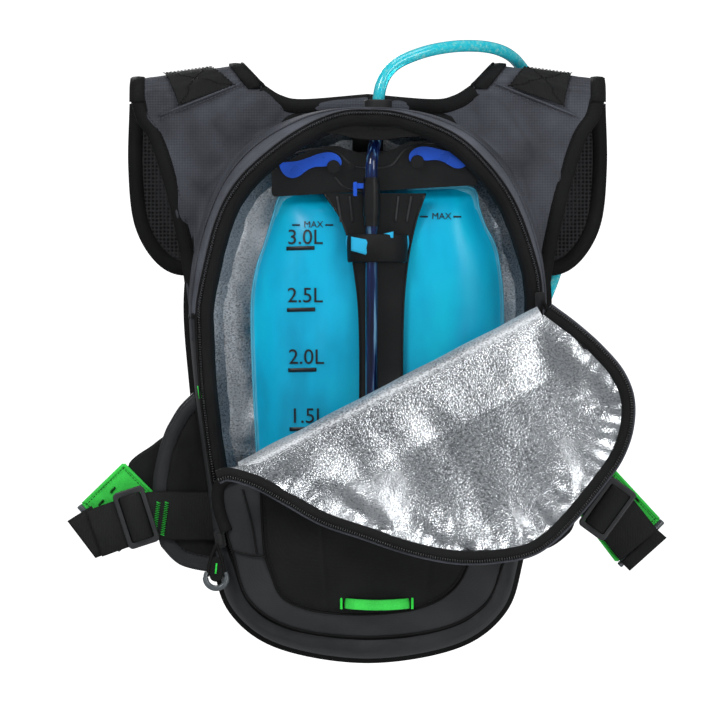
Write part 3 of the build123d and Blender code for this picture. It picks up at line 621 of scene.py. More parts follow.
RUBBER = moulded("black_rubber", (0.018, 0.018, 0.019), (0.55, 0.7))
TOOTH = moulded("zip_tooth", (0.02, 0.02, 0.021), (0.2, 0.32), 0.3)
# Both hoses carry painted highlights in their brightest colour; on the inner hose, run 0.05 draws them into
# vertical painted highlight streaks.
HOSE = clear_hose("cyan_hose", (0.08, 0.90, 1.0), (0.01, 0.80, 1.0), (0.30, 0.96, 1.0), 1.0)
INNER_HOSE = clear_hose("inner_hose", (0.008, 0.025, 0.14), (0.003, 0.006, 0.03), (0.22, 0.5, 0.75), 0.05)
CYAN_TAB = cloth("cyan_tab", (0.03, 0.50, 0.85), 0.8, 0.2, (0.5, 0.7), 0.2)


# ---- the dome of the lower front ------------------------------------------------------
def arc_height(v, low, middle, high, rise):
    """Height at v of the arc through (low, 0), (middle, rise) and (high, 0)."""
    a = Vector((low, 0))
    b = Vector((middle, rise))
    c = Vector((high, 0))
    aa, bb, cc = a.length_squared, b.length_squared, c.length_squared
    d = 2 * (a.x * (b.y - c.y) + b.x * (c.y - a.y) + c.x * (a.y - b.y))
    x = (aa * (b.y - c.y) + bb * (c.y - a.y) + cc * (a.y - b.y)) / d
    y = (aa * (c.x - b.x) + bb * (a.x - c.x) + cc * (b.x - a.x)) / d
    radius = (a - Vector((x, y))).length
    return max(0.01, y + math.sqrt(max(radius * radius - (v - x) ** 2, 0.0)))


def dome_y(x, z):
    """Depth of the lower front panel's face."""
    across = arc_height(x, -130, 0, 130, 44)
    down = arc_height(z, -218, -95, 175, 44)
    return -80.6 - (across ** -4 + down ** -4) ** -0.25


def on_dome(run, proud):
    """Flat points laid over the lower front, this far proud of it."""
    return at_depth(run, lambda x, z: dome_y(x, z) - proud)


def under_fold(x, z):
    """How far a place lies below the fold line."""
    p = Vector((x, z)) - FOLD_LEFT
    return FOLD_WAY.y * p.x - FOLD_WAY.x * p.y


# ---- body -----------------------------------------------------------------------------
teeth_loop = smooth(TEETH, RING, True)
back_loop = smooth(BACK, RING, True)


def quilt(x, z):
    """Sewn channels across a pad, 1 on a channel and 0 between."""
    near = abs(((z + 12) % 46) - 23)
    return math.exp(-((near / 2.2) ** 2))


def build_body():
    """Gusset with its seams and the charcoal sweep round its bottom."""
    profile = [(0.0, -81.5), (0.12, -82.5), (0.4, -81.5), (0.65, -76), (0.82, -66), (0.93, -50),
               (1.0, -32), (1.0, -14)]
    rows = []
    for share, y in profile:
        row = []
        for t, b in zip(teeth_loop, back_loop):
            p = t.lerp(b, share)
            puff = wrinkle(p.x, y, p.y, 30, 3) * 1.1 * math.sin(math.pi * share)
            row.append(Vector((p.x * (1 + puff / 400), y - puff, p.y)))
        rows.append(row)
    gusset = lofted("gusset_cloth", rows, STRIP, closed=True)
    for material in (SLATE, CHARCOAL, BINDING):
        gusset.data.materials.append(material)
    for face in gusset.data.polygons:
        spot = face.center / MM
        if spot.z < WAIST_SEAM_Z:
            face.material_index = 3 if spot.y < -80 else 2
        elif spot.y > -73:
            face.material_index = 1
    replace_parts(gusset, "side_gusset")
    ridge = [p for p in (t.lerp(b, 0.68) for t, b in zip(teeth_loop, back_loop)) if p.y > 20]
    cut = next(i for i, (a, b) in enumerate(zip(ridge, ridge[1:])) if (b - a).length > 40) + 1
    tube("gusset_seam", at_depth(ridge[cut:] + ridge[:cut], -76.2), 0.8, SLATE)

    for side, name in SIDES:
        line = [Vector((side * (130.9 + 8.8 * share), y, WAIST_SEAM_Z)) for share, y in profile]
        ribbon(f"side_seam_{name}", smooth(line, 30), 5, 1.2, BINDING, facing=Vector((side, 0, 0)))

    rows = []
    low = [i for i in range(RING) if teeth_loop[i].y < -128]
    for share, y in profile[1:]:
        row = []
        for i in low:
            p = teeth_loop[i].lerp(back_loop[i], share)
            way = Vector((p.x, p.y + 60)).normalized()
            fold = abs(wrinkle(p.x, y * 0.4, p.y, 22, 9)) * 3.6 + abs(wrinkle(p.x, y, p.y, 50, 2)) * 2.4
            fold *= math.sin(math.pi * share)
            p = p + way * (1.0 + fold * 0.45)
            row.append(Vector((p.x, y - 0.6 - fold, p.y)))
        rows.append(row)
    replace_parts(lofted("sweep_cloth", rows, CHARCOAL), "bottom_sweep")
    hem = [Vector((back_loop[i].x * 1.004, -16, back_loop[i].y - 0.8)) for i in low]
    ribbon("bottom_hem", hem, 9, 2.2, BINDING)


def build_back():
    """Back panel with its bound seam, and the three quilted mesh pads with their piping."""
    back = filled("back_cloth", back_loop, (0, -10), 26, -13.8, BLACK,
                  back=lambda x, z, u: -7.5 + 1.2 * (1 - u) + wrinkle(x, 0, z, 24, 5) * 0.5)
    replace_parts(back, "back_panel")
    seam = beside(back_loop, 0.6, -9.5, closed=True)
    ribbon("back_seam", seam, 8, 2.0, BINDING, facing=BACKWARD, closed=True)

    column = [(-90, 150), (-50, 178), (-18, 160), (-16, 60), (-18, -60), (-60, -72), (-104, -50), (-108, 60)]
    waist = [(-98, -86), (0, -84), (98, -86), (94, -150), (60, -192), (0, -200), (-60, -192), (-94, -150)]
    for label, outline, centre in (("left", column, (-60, 50)), ("right", mirrored(column, -1), (60, 50)),
                                   ("waist", waist, (0, -140))):
        loop = smooth(outline, 120, True)
        pad = filled(f"back_pad_{label}", loop, centre, 16, -7.4, MESH,
                     back=lambda x, z, u: -6.4 + 7.0 * (1 - u ** 5) ** 0.6 - 1.1 * quilt(x, z))
        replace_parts(pad, "back_pads")
        tube(f"back_pad_{label}_piping", at_depth(loop, -5.6), 1.5, BINDING, closed=True)


def open_stretch(loop):
    """The points of a ring where the zip is open. It is sewn shut below."""
    low = [i for i in range(RING) if teeth_loop[i].y <= SEWN_Z]
    return loop[low[-1]:] + loop[:low[0]]


def build_lining():
    """The silver compartment lining, the zip round it with its black inner band, and the hood."""
    rows = []
    for inset, y in ((8, -79), (7, -72), (6.5, -60), (7, -48), (8, -36), (10, -25), (17, -18.5)):
        row = []
        for p in shifted(teeth_loop, -inset, True):
            pucker = wrinkle(p.x, y * 0.4, p.y, 9, 2) * 1.3 + wrinkle(p.x, y, p.y, 28, 4) * 2.2
            pucker *= 0.4 if inset == 8 else 1.0
            q = p.lerp(Vector((0, -10)), max(0, pucker + 0.8) / 130)
            row.append(Vector((q.x, y + pucker * 0.3, q.y)))
        rows.append(row)
    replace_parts(lofted("lining_wall", rows, LINING, closed=True), "insulated_lining")
    filled("lining_back", shifted(teeth_loop, -15, True), (0, -10), 40,
           lambda x, z, u: -18.5 - wrinkle(x, 0, z * 0.7, 22, 6) * 3.4 * u - wrinkle(x, 0, z, 9, 8) * 0.7,
           LINING)

    rows = []
    for inset, y in ((0.4, -82.2), (2.5, -83.2), (6, -82.4), (9.6, -80.5), (11.5, -76)):
        row = open_stretch(shifted(teeth_loop, -inset, True))
        rows.append([Vector((p.x + wrinkle(p.x, 0, p.y, 12, 7) * 0.4,
                             y - wrinkle(p.x, y, p.y, 14, 3) * 0.7, p.y)) for p in row])
    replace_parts(lofted("zip_inner_band", rows, BINDING), "zip_track")
    run = open_stretch(teeth_loop)
    beads("zip_teeth", at_depth(run, -83.4), TOOTH_PITCH, (1.05, 2.9, 1.6), TOOTH)
    tube("zip_edge", beside(run, 2.2, -83.0), 0.75, BINDING)

    hood = [(-46, 184), (-30, 191), (0, 196), (30, 193), (48, 184), (28, 181), (10, 179), (-8, 180),
            (-28, 184)]
    filled("hood", smooth(hood, 90, True), (2, 187), 10,
           lambda x, z, u: -80.5 + 2.5 * (1 - u) - wrinkle(x, 0, z, 12, 5) * 1.2, BINDING, back=-78.5)


def seam_x(line, z):
    """Where a downward seam of three points lies at a height."""
    (xa, za), (xb, zb), (xc, zc) = line
    if z > zb:
        return xa + (xb - xa) * (z - za) / (zb - za)
    return xb + (xc - xb) * (z - zb) / (zc - zb)


def build_front():
    """The lower front panel: a charcoal base, a black centre panel and the light loop."""
    edge = smooth(LOWER, 200)

    def base_y(x, z, u):
        creases = wrinkle(x * 0.6 + z, 0, z * 0.5, 20, 2) * 1.6 * min(1, (1 - u) * 5)
        return dome_y(x, z) + 0.6 - creases

    base = filled("front_base", edge + between(LOWER[-1], LOWER[0], 90)[1:-1], (10, -100), 44, base_y,
                  CHARCOAL, back=lambda x, z, u: dome_y(x, z) + 3.4)
    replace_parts(base, "front_panel")
    rows = [at_depth(edge, lambda x, z: (dome_y(x, z) + 0.6) * (1 - share) - 80.0 * share)
            for share in (0.0, 0.3, 0.7, 1.0)]
    lofted("front_skirt", rows, CHARCOAL)
    tube("front_corner_seam", on_dome(edge, -0.4), 0.8, BINDING)

    side = smooth(CENTRE, 170)
    seams = (((-37, -100), (-35, -140), (-31, -183)), ((50, -120), (48, -149), (45, -181)))

    def centre_y(x, z, u):
        groove = sum(math.exp(-((x - seam_x(line, z)) / 1.1) ** 2) for line in seams)
        crown = 1.4 * (1 - u ** 10)
        return dome_y(x, z) - crown + groove * 0.9 - wrinkle(x, 0, z, 34, 8) * 0.9 * (1 - u ** 4)

    filled("front_centre", side + between(CENTRE[-1], CENTRE[0], 70)[1:-1], (0, -110), 50, centre_y, BLACK)
    tube("centre_seam", on_dome(side, 0.5), 0.9, DARK_THREAD)
    beads("centre_stitches", on_dome(shifted(side, 2.6), 1.7), 3.2, STITCH, DARK_THREAD)

    turn = [(-103, -82), (-112, -86), (-116.5, -94), (-115.5, -107), (-112.5, -117), (-109.5, -125)]
    turn = smooth(turn, 50)
    ribbon("corner_tape", on_dome(turn, 2.6), BINDING_WIDE, 2.2, BINDING)
    beads("corner_teeth", on_dome(shifted(turn, -2.4), 4.2), TOOTH_PITCH, TOOTH_SHAPE, TOOTH)
    # Black lines along the folds of the charcoal cloth: painted shade in the creases.
    creases = (((-104, -140), (-92, -143), (-79, -144)), ((-97, -92), (-90, -118), (-86, -142)))
    for k, crease in enumerate(creases):
        tube(f"side_crease_{k}", on_dome(smooth(crease, 24), 1.6), 0.8, BLACK)

    path = []
    for s in shares(40):
        x = -17 + 48.5 * s
        stand = 7.2 * min(1.0, 7 * s, 7 * (1 - s)) ** 0.6
        path.append(Vector((x, dome_y(x, -180.5) - 2.0 - stand, -180.5 - 1.2 * math.sin(math.pi * s))))
    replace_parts(ribbon("light_loop_tape", path, 8.2, 1.3, GREEN), "light_loop")
    for label, x in (("left", -20.5), ("right", 34.5)):
        y = dome_y(x, -180) - 2.2
        beads(f"loop_tick_{label}", between((x, y, -184.5), (x, y, -176.5), 4), 0.8, (0.9, 2.2, 0.9), THREAD)


# ---- opened front panel ---------------------------------------------------------------
def build_flap():
    """The opened panel: foil side, black band, zip teeth, outer cloth and the soft roll at the fold."""
    edge = smooth(FLAP_EDGE, 240)
    fold_start = FOLD_LEFT + FOLD_UP * ROLL_MIDDLE + FOLD_WAY * 2
    fold_end = FOLD_RIGHT + FOLD_UP * ROLL_MIDDLE - FOLD_WAY * 8
    fold = between(fold_start, fold_end, 100)
    centre = (62, -52)

    def bowl(x, z, u):
        far = [(p.x - x) ** 2 + (p.y - z) ** 2 for p in edge]
        near = far.index(min(far))
        gap = math.sqrt(far[near])
        near_fold = min(1.0, max(0.0, under_fold(x, z) - 10) / 30)
        depth = 9.0 * (1 - math.exp(-gap / 16)) * min(1.0, max(0.0, under_fold(x, z) - 8) / 45)
        spread = wrinkle(near, 0, 0, 11, 3) + 0.8 * wrinkle(near, gap * 0.25, 0, 4.5, 6)
        pucker = spread * 4.4 * math.exp(-max(0.0, gap - 9) / 13) * min(1.0, gap / 9)
        slant = wrinkle(x * 0.8 + z * 0.6, 0, (z * 0.8 - x * 0.6) * 0.45, 26, 11)
        big = slant * (2.2 + 6.5 * math.exp(-((gap - 22) / 20) ** 2)) * min(1.0, gap / 18)
        return FLAP_Y + 1.0 + depth - max(-3.2, pucker + big) * near_fold

    foil_side = filled("flap_foil", fanned(shifted(edge, -9) + fold, centre), centre, 64, bowl, FOIL, "flap")
    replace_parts(foil_side, "flap_panel")
    outer = filled("flap_outer", fanned(edge + fold, centre), centre, 40,
                   lambda x, z, u: (FLAP_Y + 8.4 + 9.5 * (1 - u ** 3)
                                    - wrinkle(x, 0, z, 40, 3) * 1.2 * (1 - u)),
                   BLACK, "flap")

    rows = []
    section = ((9.6, 2.0), (8.4, -0.6), (4.5, -1.6), (1.6, -1.2), (0.2, 0.4), (-0.4, 3.5), (0.6, 6.6),
               (4, 8.6))
    for inset, y in section:
        rows.append(beside(edge, -inset, lambda x, z: FLAP_Y + y - wrinkle(x, y, z, 16, 4) * 0.7))
    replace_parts(lofted("flap_band", rows, BINDING, "flap"), "flap_zip_track")
    beads("flap_teeth", beside(edge, -1.6, FLAP_Y - 1.9), TOOTH_PITCH, TOOTH_SHAPE, TOOTH, "flap")
    tube("flap_welt", beside(edge, 0.4, FLAP_Y + 1.5), 1.0, SLATE, "flap")

    # The roll: foil outside, black cloth inside, from the panel's face over the fold.
    for name, inset, material, slot in (("roll_foil", 0.0, ROLL, "foil_lining"),
                                        ("roll_cloth", 3.0, BLACK, "black_cloth")):
        rows = []
        for s in shares(24):
            angle = math.pi * (1.04 - 1.08 * s)
            y = ROLL_Y + math.cos(angle) * (ROLL_DEEP - inset)
            row = []
            for along in between(fold_start, fold_end, 120):
                soft = wrinkle(along.x, s * 48, along.y, 30, 6) * 0.9 * math.sin(math.pi * s)
                p = along + FOLD_UP * (math.sin(angle) * (ROLL_HIGH - inset + soft))
                row.append(Vector((p.x, y, p.y)))
            rows.append(row)
        roll = lofted(name, rows, material, None)
        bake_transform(roll)


# ---- yoke -----------------------------------------------------------------------------
def arch_point(side, s, turn, radius):
    """A point of the shoulder arch: s from the neck corner out, turn 0 in front and 1 behind."""
    angle = math.pi * turn
    p = NECK_CORNER.lerp(OUTER_CORNER, s)
    flare = 17.0 * (1 - math.sin(max(0.0, angle))) * (1 - s) ** 2 if turn < 0.5 else 0.0
    return Vector((side * (p.x - flare), ARCH_Y - radius * math.cos(angle), p.y + radius * math.sin(angle)))


def build_yoke(side, name):
    """One half of the yoke: its cloth, mesh liner, bindings, stitches and seam."""
    outer = smooth(NECK, 46) + between(NECK[-1], OUTER_CORNER, 30)[1:] + smooth(YOKE_SIDE, 84)[1:]
    last = next(i for i in range(RING) if back_loop[i].y < -16)
    inner = [p.lerp(Vector((0, 0)), 0.02) for p in spaced(back_loop[:last], len(outer))]
    rows_front = []
    rows_back = []
    for s in shares(26):
        across = [a.lerp(b, s) for a, b in zip(inner, outer)]
        puff = math.sin(math.pi * min(1, s * 1.02)) ** 0.5 if 0 < s < 1 else 0
        rise = 1.2 * math.sin(math.pi * s) + 5 * max(0.0, 1 - s * 5) ** 2
        front = []
        for p in across:
            soft = wrinkle(p.x * side * 0.8 + p.y * 0.5, 2, p.y * 0.5, 24, 4 + side) * 2.6
            soft += wrinkle(p.x, 2, p.y, 55, 8) * 2.4
            front.append(Vector((side * p.x, -10 - rise - soft * puff, p.y)))
        rows_front.append(front)
        rows_back.append(at_depth(across, -3, side))
    face = lofted(f"yoke_face_{name}", rows_front, SLATE)
    liner = lofted(f"yoke_liner_{name}", rows_back, MESH)
    for part in (face, liner):
        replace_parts(part, "yoke")

    for label, run, width in (("neck", outer[:46], 11.5), ("side", outer[75:], 11.0)):
        end = f"{label}_{name}"
        ribbon(f"yoke_binding_{end}", beside(run, -5.5, -10.4, side), width, 1.8, BINDING)
        ribbon(f"yoke_binding_back_{end}", beside(run, -5.5, -2.8, side), width, 1.8, BINDING,
               facing=BACKWARD)
        wall = beside(run, -0.8, -6.6, side)
        sideways = [Vector((side * (-w.z), 0, side * w.x)) for w in tangents(wall)]
        ribbon(f"yoke_edge_{end}", wall, BINDING_WIDE, 1.6, BINDING, facing=sideways)
        beads(f"yoke_stitches_{end}", beside(run, -9.625, -11.5, side), 3.4, (2.4, 0.5, 0.5), DARK_THREAD)
    build_shoulder(side, name)

    line = [Vector((side * (99 + 65 * s), -13.2 - 0.5 * math.sin(math.pi * s), 226 - 26 * s))
            for s in shares(39)]
    tube(f"yoke_seam_{name}", line, 0.9, SLATE, sides=6)
    line = [p + Vector((0, -0.2, -2.6)) for p in line]
    beads(f"yoke_seam_stitches_{name}", line, 3.0, (2.1, 0.5, 0.5), GREY_THREAD)


def build_shoulder(side, name):
    """The arch over one shoulder with its bindings, and the webbing patch with a cross of stitches."""
    rows = [[arch_point(side, s, -0.06 + 1.06 * turn,
                        ARCH_RADIUS + 0.4 * wrinkle(s * 120, turn * 84, side, 9, 2))
             for s in shares(30)] for turn in shares(28)]
    lofted(f"shoulder_cover_{name}", rows, SLATE)
    rows = [[arch_point(side, s, -0.06 + 1.06 * turn, 10.5) for s in shares(30)] for turn in shares(20)]
    lofted(f"shoulder_liner_{name}", rows, MESH)
    for label, s, inner, height, way in (("neck", 0.0, 0.06, NECK_CORNER.y, -side),
                                         ("outer", 1.0, 0.94, OUTER_CORNER.y, side)):
        path = [arch_point(side, s, -0.02 + 1.02 * turn, 14.2) for turn in shares(30)]
        ribbon(f"shoulder_binding_{label}_{name}", path, BINDING_WIDE, 2.0, BINDING,
               facing=Vector((way, 0, 0)))
        top = [arch_point(side, inner, -0.04 + 1.04 * turn, 17.9) for turn in shares(30)]
        faces = [(p - Vector((p.x, ARCH_Y, height))).normalized() for p in top]
        ribbon(f"shoulder_band_{label}_{name}", top, 10.5, 1.6, BINDING, facing=faces)

    rows = []
    skew = 0.11 if side < 0 else 0.05
    for t in shares(14):
        rows.append([])
        for s in shares(12):
            low = (7 - 34 * s) / 180
            p = arch_point(side, 0.29 - skew * (1 - t) + 0.42 * s, low + (84 / 180 - low) * t, 18.7)
            if t < 0.5:
                p.y = min(p.y, -13.6)
            rows[-1].append(p)
    patch = lofted(f"patch_{name}", rows, WEBBING)
    if side < 0:
        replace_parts(patch, "shoulder_patches")
    for label, (i, j), (m, n) in (("a", (0, 0), (14, 12)), ("b", (0, 12), (14, 0)), ("c", (0, 0), (0, 12)),
                                  ("d", (14, 0), (14, 12)), ("e", (0, 0), (14, 0)), ("f", (0, 12), (14, 12))):
        spots = [rows[round(i + (m - i) * t)][round(j + (n - j) * t)] for t in shares(14)]
        path = [p + Vector((0, -0.5, 0.4)) for p in spots]
        beads(f"patch_stitch_{label}_{name}", path, 2.6, (1.9, 0.6, 0.6), DARK_THREAD)


# ---- straps ---------------------------------------------------------------------------
def build_strap(side, name):
    """Padded strap with mesh toward the wearer's shoulder, bound edge and lower webbing."""
    body = f"strap_{name}"
    drop = Vector((0, -1.4))
    top = (NECK_CORNER + drop + Vector((1, 0)), OUTER_CORNER + drop)
    curve = smooth([top[1], *PAD_EDGE, top[0]], 110)
    loop = [Vector((side * p.x, p.y)) for p in curve + between(*top, 30)[1:-1]]
    pad = filled(f"strap_pad_soft_{name}", loop, (side * 142, 150), 22,
                 lambda x, z, u: 22.5 - 5.2 * (1 - u ** 4) ** 0.7 - wrinkle(x, 0, z, 22, 3) * 0.4 * (1 - u),
                 MESH, body, lambda x, z, u: 23.5 + 5.2 * (1 - u ** 4) ** 0.7)
    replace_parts(pad, f"strap_pad_{name}")
    tube(f"strap_piping_{name}", beside(curve, -0.6, 23, side), 3.0, BINDING, body, 10)
    for label, y, face in (("front", 18.9, FRONT), ("back", 27.1, BACKWARD)):
        ribbon(f"strap_binding_{label}_{name}", beside(curve, -4.5, y, side), BINDING_WIDE, 1.5, BINDING,
               body, face)
    join = between((side * 100, 26, 224.5), (side * 185, 26, 212.5), 20)
    hinge = ribbon(f"strap_hinge_{name}", join, 13, 1.6, BINDING, None, BACKWARD)
    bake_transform(hinge)

    tab = between((side * 128, 24.5, 96), (side * 128, 24.5, 60), 14)
    ribbon(f"strap_tab_{name}", tab, STRAP_WIDE, 1.8, WEBBING, body, BACKWARD)
    run = [(128, 22.5, 66), (127, 21.8, 48), (121, 21.2, 0), (114, 21.2, -50)]
    web = ribbon(f"strap_web_{name}", smooth([(side * x, y, z) for x, y, z in run], 50), STRAP_WIDE, 1.5,
                 WEBBING, body, BACKWARD)
    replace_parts(web, f"strap_webbing_{name}")
    run = [(114, 21.2, -50), (112, 16, -66), (108, 8, -84), (104, 2.4, -112)]
    link = ribbon(f"strap_link_{name}", smooth([(side * x, y, z) for x, y, z in run], 40), STRAP_WIDE, 1.5,
                  WEBBING, None, BACKWARD)
    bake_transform(link)
    anchor = panel(f"anchor_tab_{name}", mirrored([(92, -70), (122, -62), (116, -118), (90, -124)], side),
                   1.6, 3.0, WEBBING, puff=0.3)
    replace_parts(anchor, f"strap_anchor_{name}")


# ---- waist ----------------------------------------------------------------------------
def build_wing(side, name):
    """Hip wing with its bound edge, the cloth that joins it to the body, and the rear belt layer."""
    body = f"hip_{name}"
    data = WAIST[name]
    wing = filled(f"wing_soft_{name}", smooth(mirrored(data["wing"], side), 130, True), (side * 141, -95),
                  24,
                  lambda x, z, u: (-37.5 - 3.6 * (1 - u ** 6)
                                   - wrinkle(x + z * 0.3, 0, z * 0.5, 15, 5) * 1.8 * (1 - u)),
                  BLACK, body, lambda x, z, u: -33.5 + 3.0 * (1 - u ** 6))
    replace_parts(wing, f"hip_wing_{name}")
    bound = smooth(data["wing"][:data["bound"]], 90)
    ribbon(f"wing_binding_{name}", beside(bound, -5, -39.6, side), 10.5, 2.0, CHARCOAL, body)
    tube(f"wing_edge_{name}", beside(bound, -0.8, -35.5, side), 3.2, CHARCOAL, body, 10)
    beads(f"wing_stitches_{name}", beside(bound, -9.2, -41.0, side), 3.2, STITCH, DARK_THREAD, body)
    if side < 0:
        tack = between((-131.5, -82.6, -12.5), (-130.1, -82.6, -21.3), 4)
        beads("gusset_tack_left", tack, 0.8, (0.9, 2.4, 0.9), THREAD)

    rows = []
    for t in shares(12):
        rows.append([])
        for s in shares(30):
            z = -22 - data["root"] * s
            x = 121 - 18 * s + 17 * t
            fold = wrinkle(x, t * 9, z, 14, 4) * 1.4 * math.sin(math.pi * t)
            rows[-1].append(Vector((side * x, -62 + 25 * t - fold, z)))
    web = lofted(f"wing_root_{name}", rows, BLACK, None)
    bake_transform(web)

    rear = filled(f"belt_layer_soft_{name}", smooth(mirrored(BELT_LAYER, side), 80, True), (side * 158, -88),
                  12, lambda x, z, u: -28.6 - (1 - u * u), BLACK, body, lambda x, z, u: -26.6 + (1 - u * u))
    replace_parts(rear, f"belt_layer_{name}")


def build_belt(side, name):
    """Belt webbing with its folded end, the green tab behind it, and their stitches."""
    body = f"hip_{name}"
    data = WAIST[name]
    belt = ribbon(f"belt_soft_{name}", at_depth(smooth(data["belt"], 60), BELT_Y), BELT_WIDE, 1.9, WEBBING,
                  None, crown=0.1)
    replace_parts(belt, f"belt_webbing_{name}")
    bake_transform(belt)
    panel(f"belt_end_{name}", data["end"], -42.6, 2.4, WEBBING, body, (6, 12))
    tab = panel(f"belt_tab_soft_{name}", data["tab"], -34.0, 2.2, GREEN, body, (16, 16), 0.9)
    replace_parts(tab, f"belt_tab_{name}")
    corners = [Vector(p) for p in data["tab"]]
    middle = sum(corners, Vector((0, 0))) / 4
    for k in range(4):
        a, b = corners[k], corners[(k + 1) % 4]
        hem = at_depth(between(a.lerp(middle, 0.13), b.lerp(middle, 0.13), 12), -35.6)
        beads(f"tab_stitches_{k}_{name}", hem, 2.4, (1.8, 0.5, 0.5), DARK_THREAD, body)
        edge = at_depth(between(a.lerp(middle, 0.03), b.lerp(middle, 0.03), 12), -34.2)
        tube(f"tab_edge_{k}_{name}", edge, 1.5, GREEN, body)
    for k, (x, z) in enumerate(data["tacks"]):
        run = between((x, -35.8, z), (x + 3.2 * side, -35.8, z - 3.6), 4)
        beads(f"tab_tack_{k}_{name}", run, 0.7, (0.8, 2.0, 0.8), DARK_THREAD, body)
    if side < 0:
        for k, x in enumerate((-163.5, -157)):
            run = [Vector((x - j * 0.12 + (1.5 if j % 2 else -1.5), -46.5, -103 - j * 0.9))
                   for j in range(30)]
            tube(f"belt_tack_{k}_{name}", run, 0.5, THREAD, body, 6)


def covered_bars():
    """The webbing that passes over each tri-glide's middle bar."""
    for name, data in WAIST.items():
        x, z = data["glide"]
        lean = math.radians(data["turn"])
        way = Vector((math.cos(lean), 0, math.sin(lean)))
        path = []
        for share in shares(14):
            s = 2 * share - 1
            path.append(Vector((x, -47.0 - 4.6 * (1 - s * s) ** 0.6, z)) + way * (s * 8.4))
        ribbon(f"belt_over_{name}", path, BELT_WIDE - 1, 1.5, WEBBING, f"triglide_{name}", crown=0.1)


# ---- reservoir ------------------------------------------------------------------------
bag_loop = smooth(BAG, 220, True)


def bag_full(x, z):
    """How full the bag is at a point: 0 at its edge and 1 well inside."""
    total = sum(math.exp(-math.hypot(p.x - x, p.y - z) / 7) for p in bag_loop)
    gap = max(0.0, 7 * math.log(3.2 / total))
    return (1 - (1 - min(1.0, gap / 34)) ** 2.4) ** 0.75


def bag_y(x, z, u=0.0):
    """Depth of the reservoir's front film."""
    full = bag_full(x, z) if u < 0.999 else 0.0
    lobes = 3.0 * math.exp(-((x + 48) / 24) ** 2) + 2.6 * math.exp(-((x - 68) / 22) ** 2)
    return -40.5 - (14.2 + lobes) * full - wrinkle(x, 0, z * 0.35, 16, 4) * 0.5 * full


def printed(words, x, z, size):
    """Plain printed figures lying on the film."""
    name = f"print_{words.replace('.', '_')}_{'left' if x < 0 else 'right'}"
    text = bpy.data.curves.new(name, "FONT")
    text.body = words
    text.size = size * MM * 1.32
    typed = placed(name, text)
    mesh = bpy.data.meshes.new_from_object(typed.evaluated_get(bpy.context.evaluated_depsgraph_get()))
    bpy.data.objects.remove(typed)
    for v in mesh.vertices:
        px = x + v.co.x / MM
        pz = z + v.co.y / MM
        v.co = Vector((px, bag_y(px, pz) - 0.8, pz)) * MM
    mesh.materials.clear()
    mesh.materials.append(INK)
    lettering = placed(name, mesh)
    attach(lettering, "pack")


def ruled(name, x, z, long, rise, count, width):
    """A printed line lying on the film, level or rising a little."""
    line = [Vector((x + long * s, bag_y(x + long * s, z) - 0.7, z + rise * s)) for s in shares(count)]
    ribbon(name, line, width, 0.3, INK)


def build_reservoir():
    """Film bag with its weld and printed scale."""
    centre = (8, -21)
    bag = filled("bag_film", fanned(bag_loop, centre), centre, 50, bag_y, FILM,
                 back=lambda x, z, u: -39.5 + 15 * (1 - u ** 2.6) ** 0.7)
    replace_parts(bag, "reservoir_bag")
    weld = beside(bag_loop, 2.2, -40.4, closed=True)
    ribbon("bag_weld", weld, 6.5, 0.9, FILM_EDGE, closed=True)
    tube("bag_bead", beside(bag_loop, -1.0, -41.2, closed=True), 0.8, FILM_EDGE, closed=True)
    for words, x, z in (("3.0L", -63, 98.5), ("2.5L", -63, 53), ("2.0L", -62, 5), ("1.5L", -61, -41)):
        printed(words, x, z, 12.5)
    for x, z in ((-50, 111.5), (50, 118.0)):
        printed("MAX", x, z, 5.4)
    for k, (x, z) in enumerate(((-63.5, 95), (-63, 47), (-62, 0), (-61, -46))):
        ruled(f"scale_bar_{k}", x, z, 22, 0.5, 10, 3.0)
    for k, (x, z) in enumerate(((-59, 113.4), (-33, 113.4), (41, 119.9), (67, 119.9))):
        ruled(f"fill_dash_{k}", x, z, 6, 0, 5, 1.2)


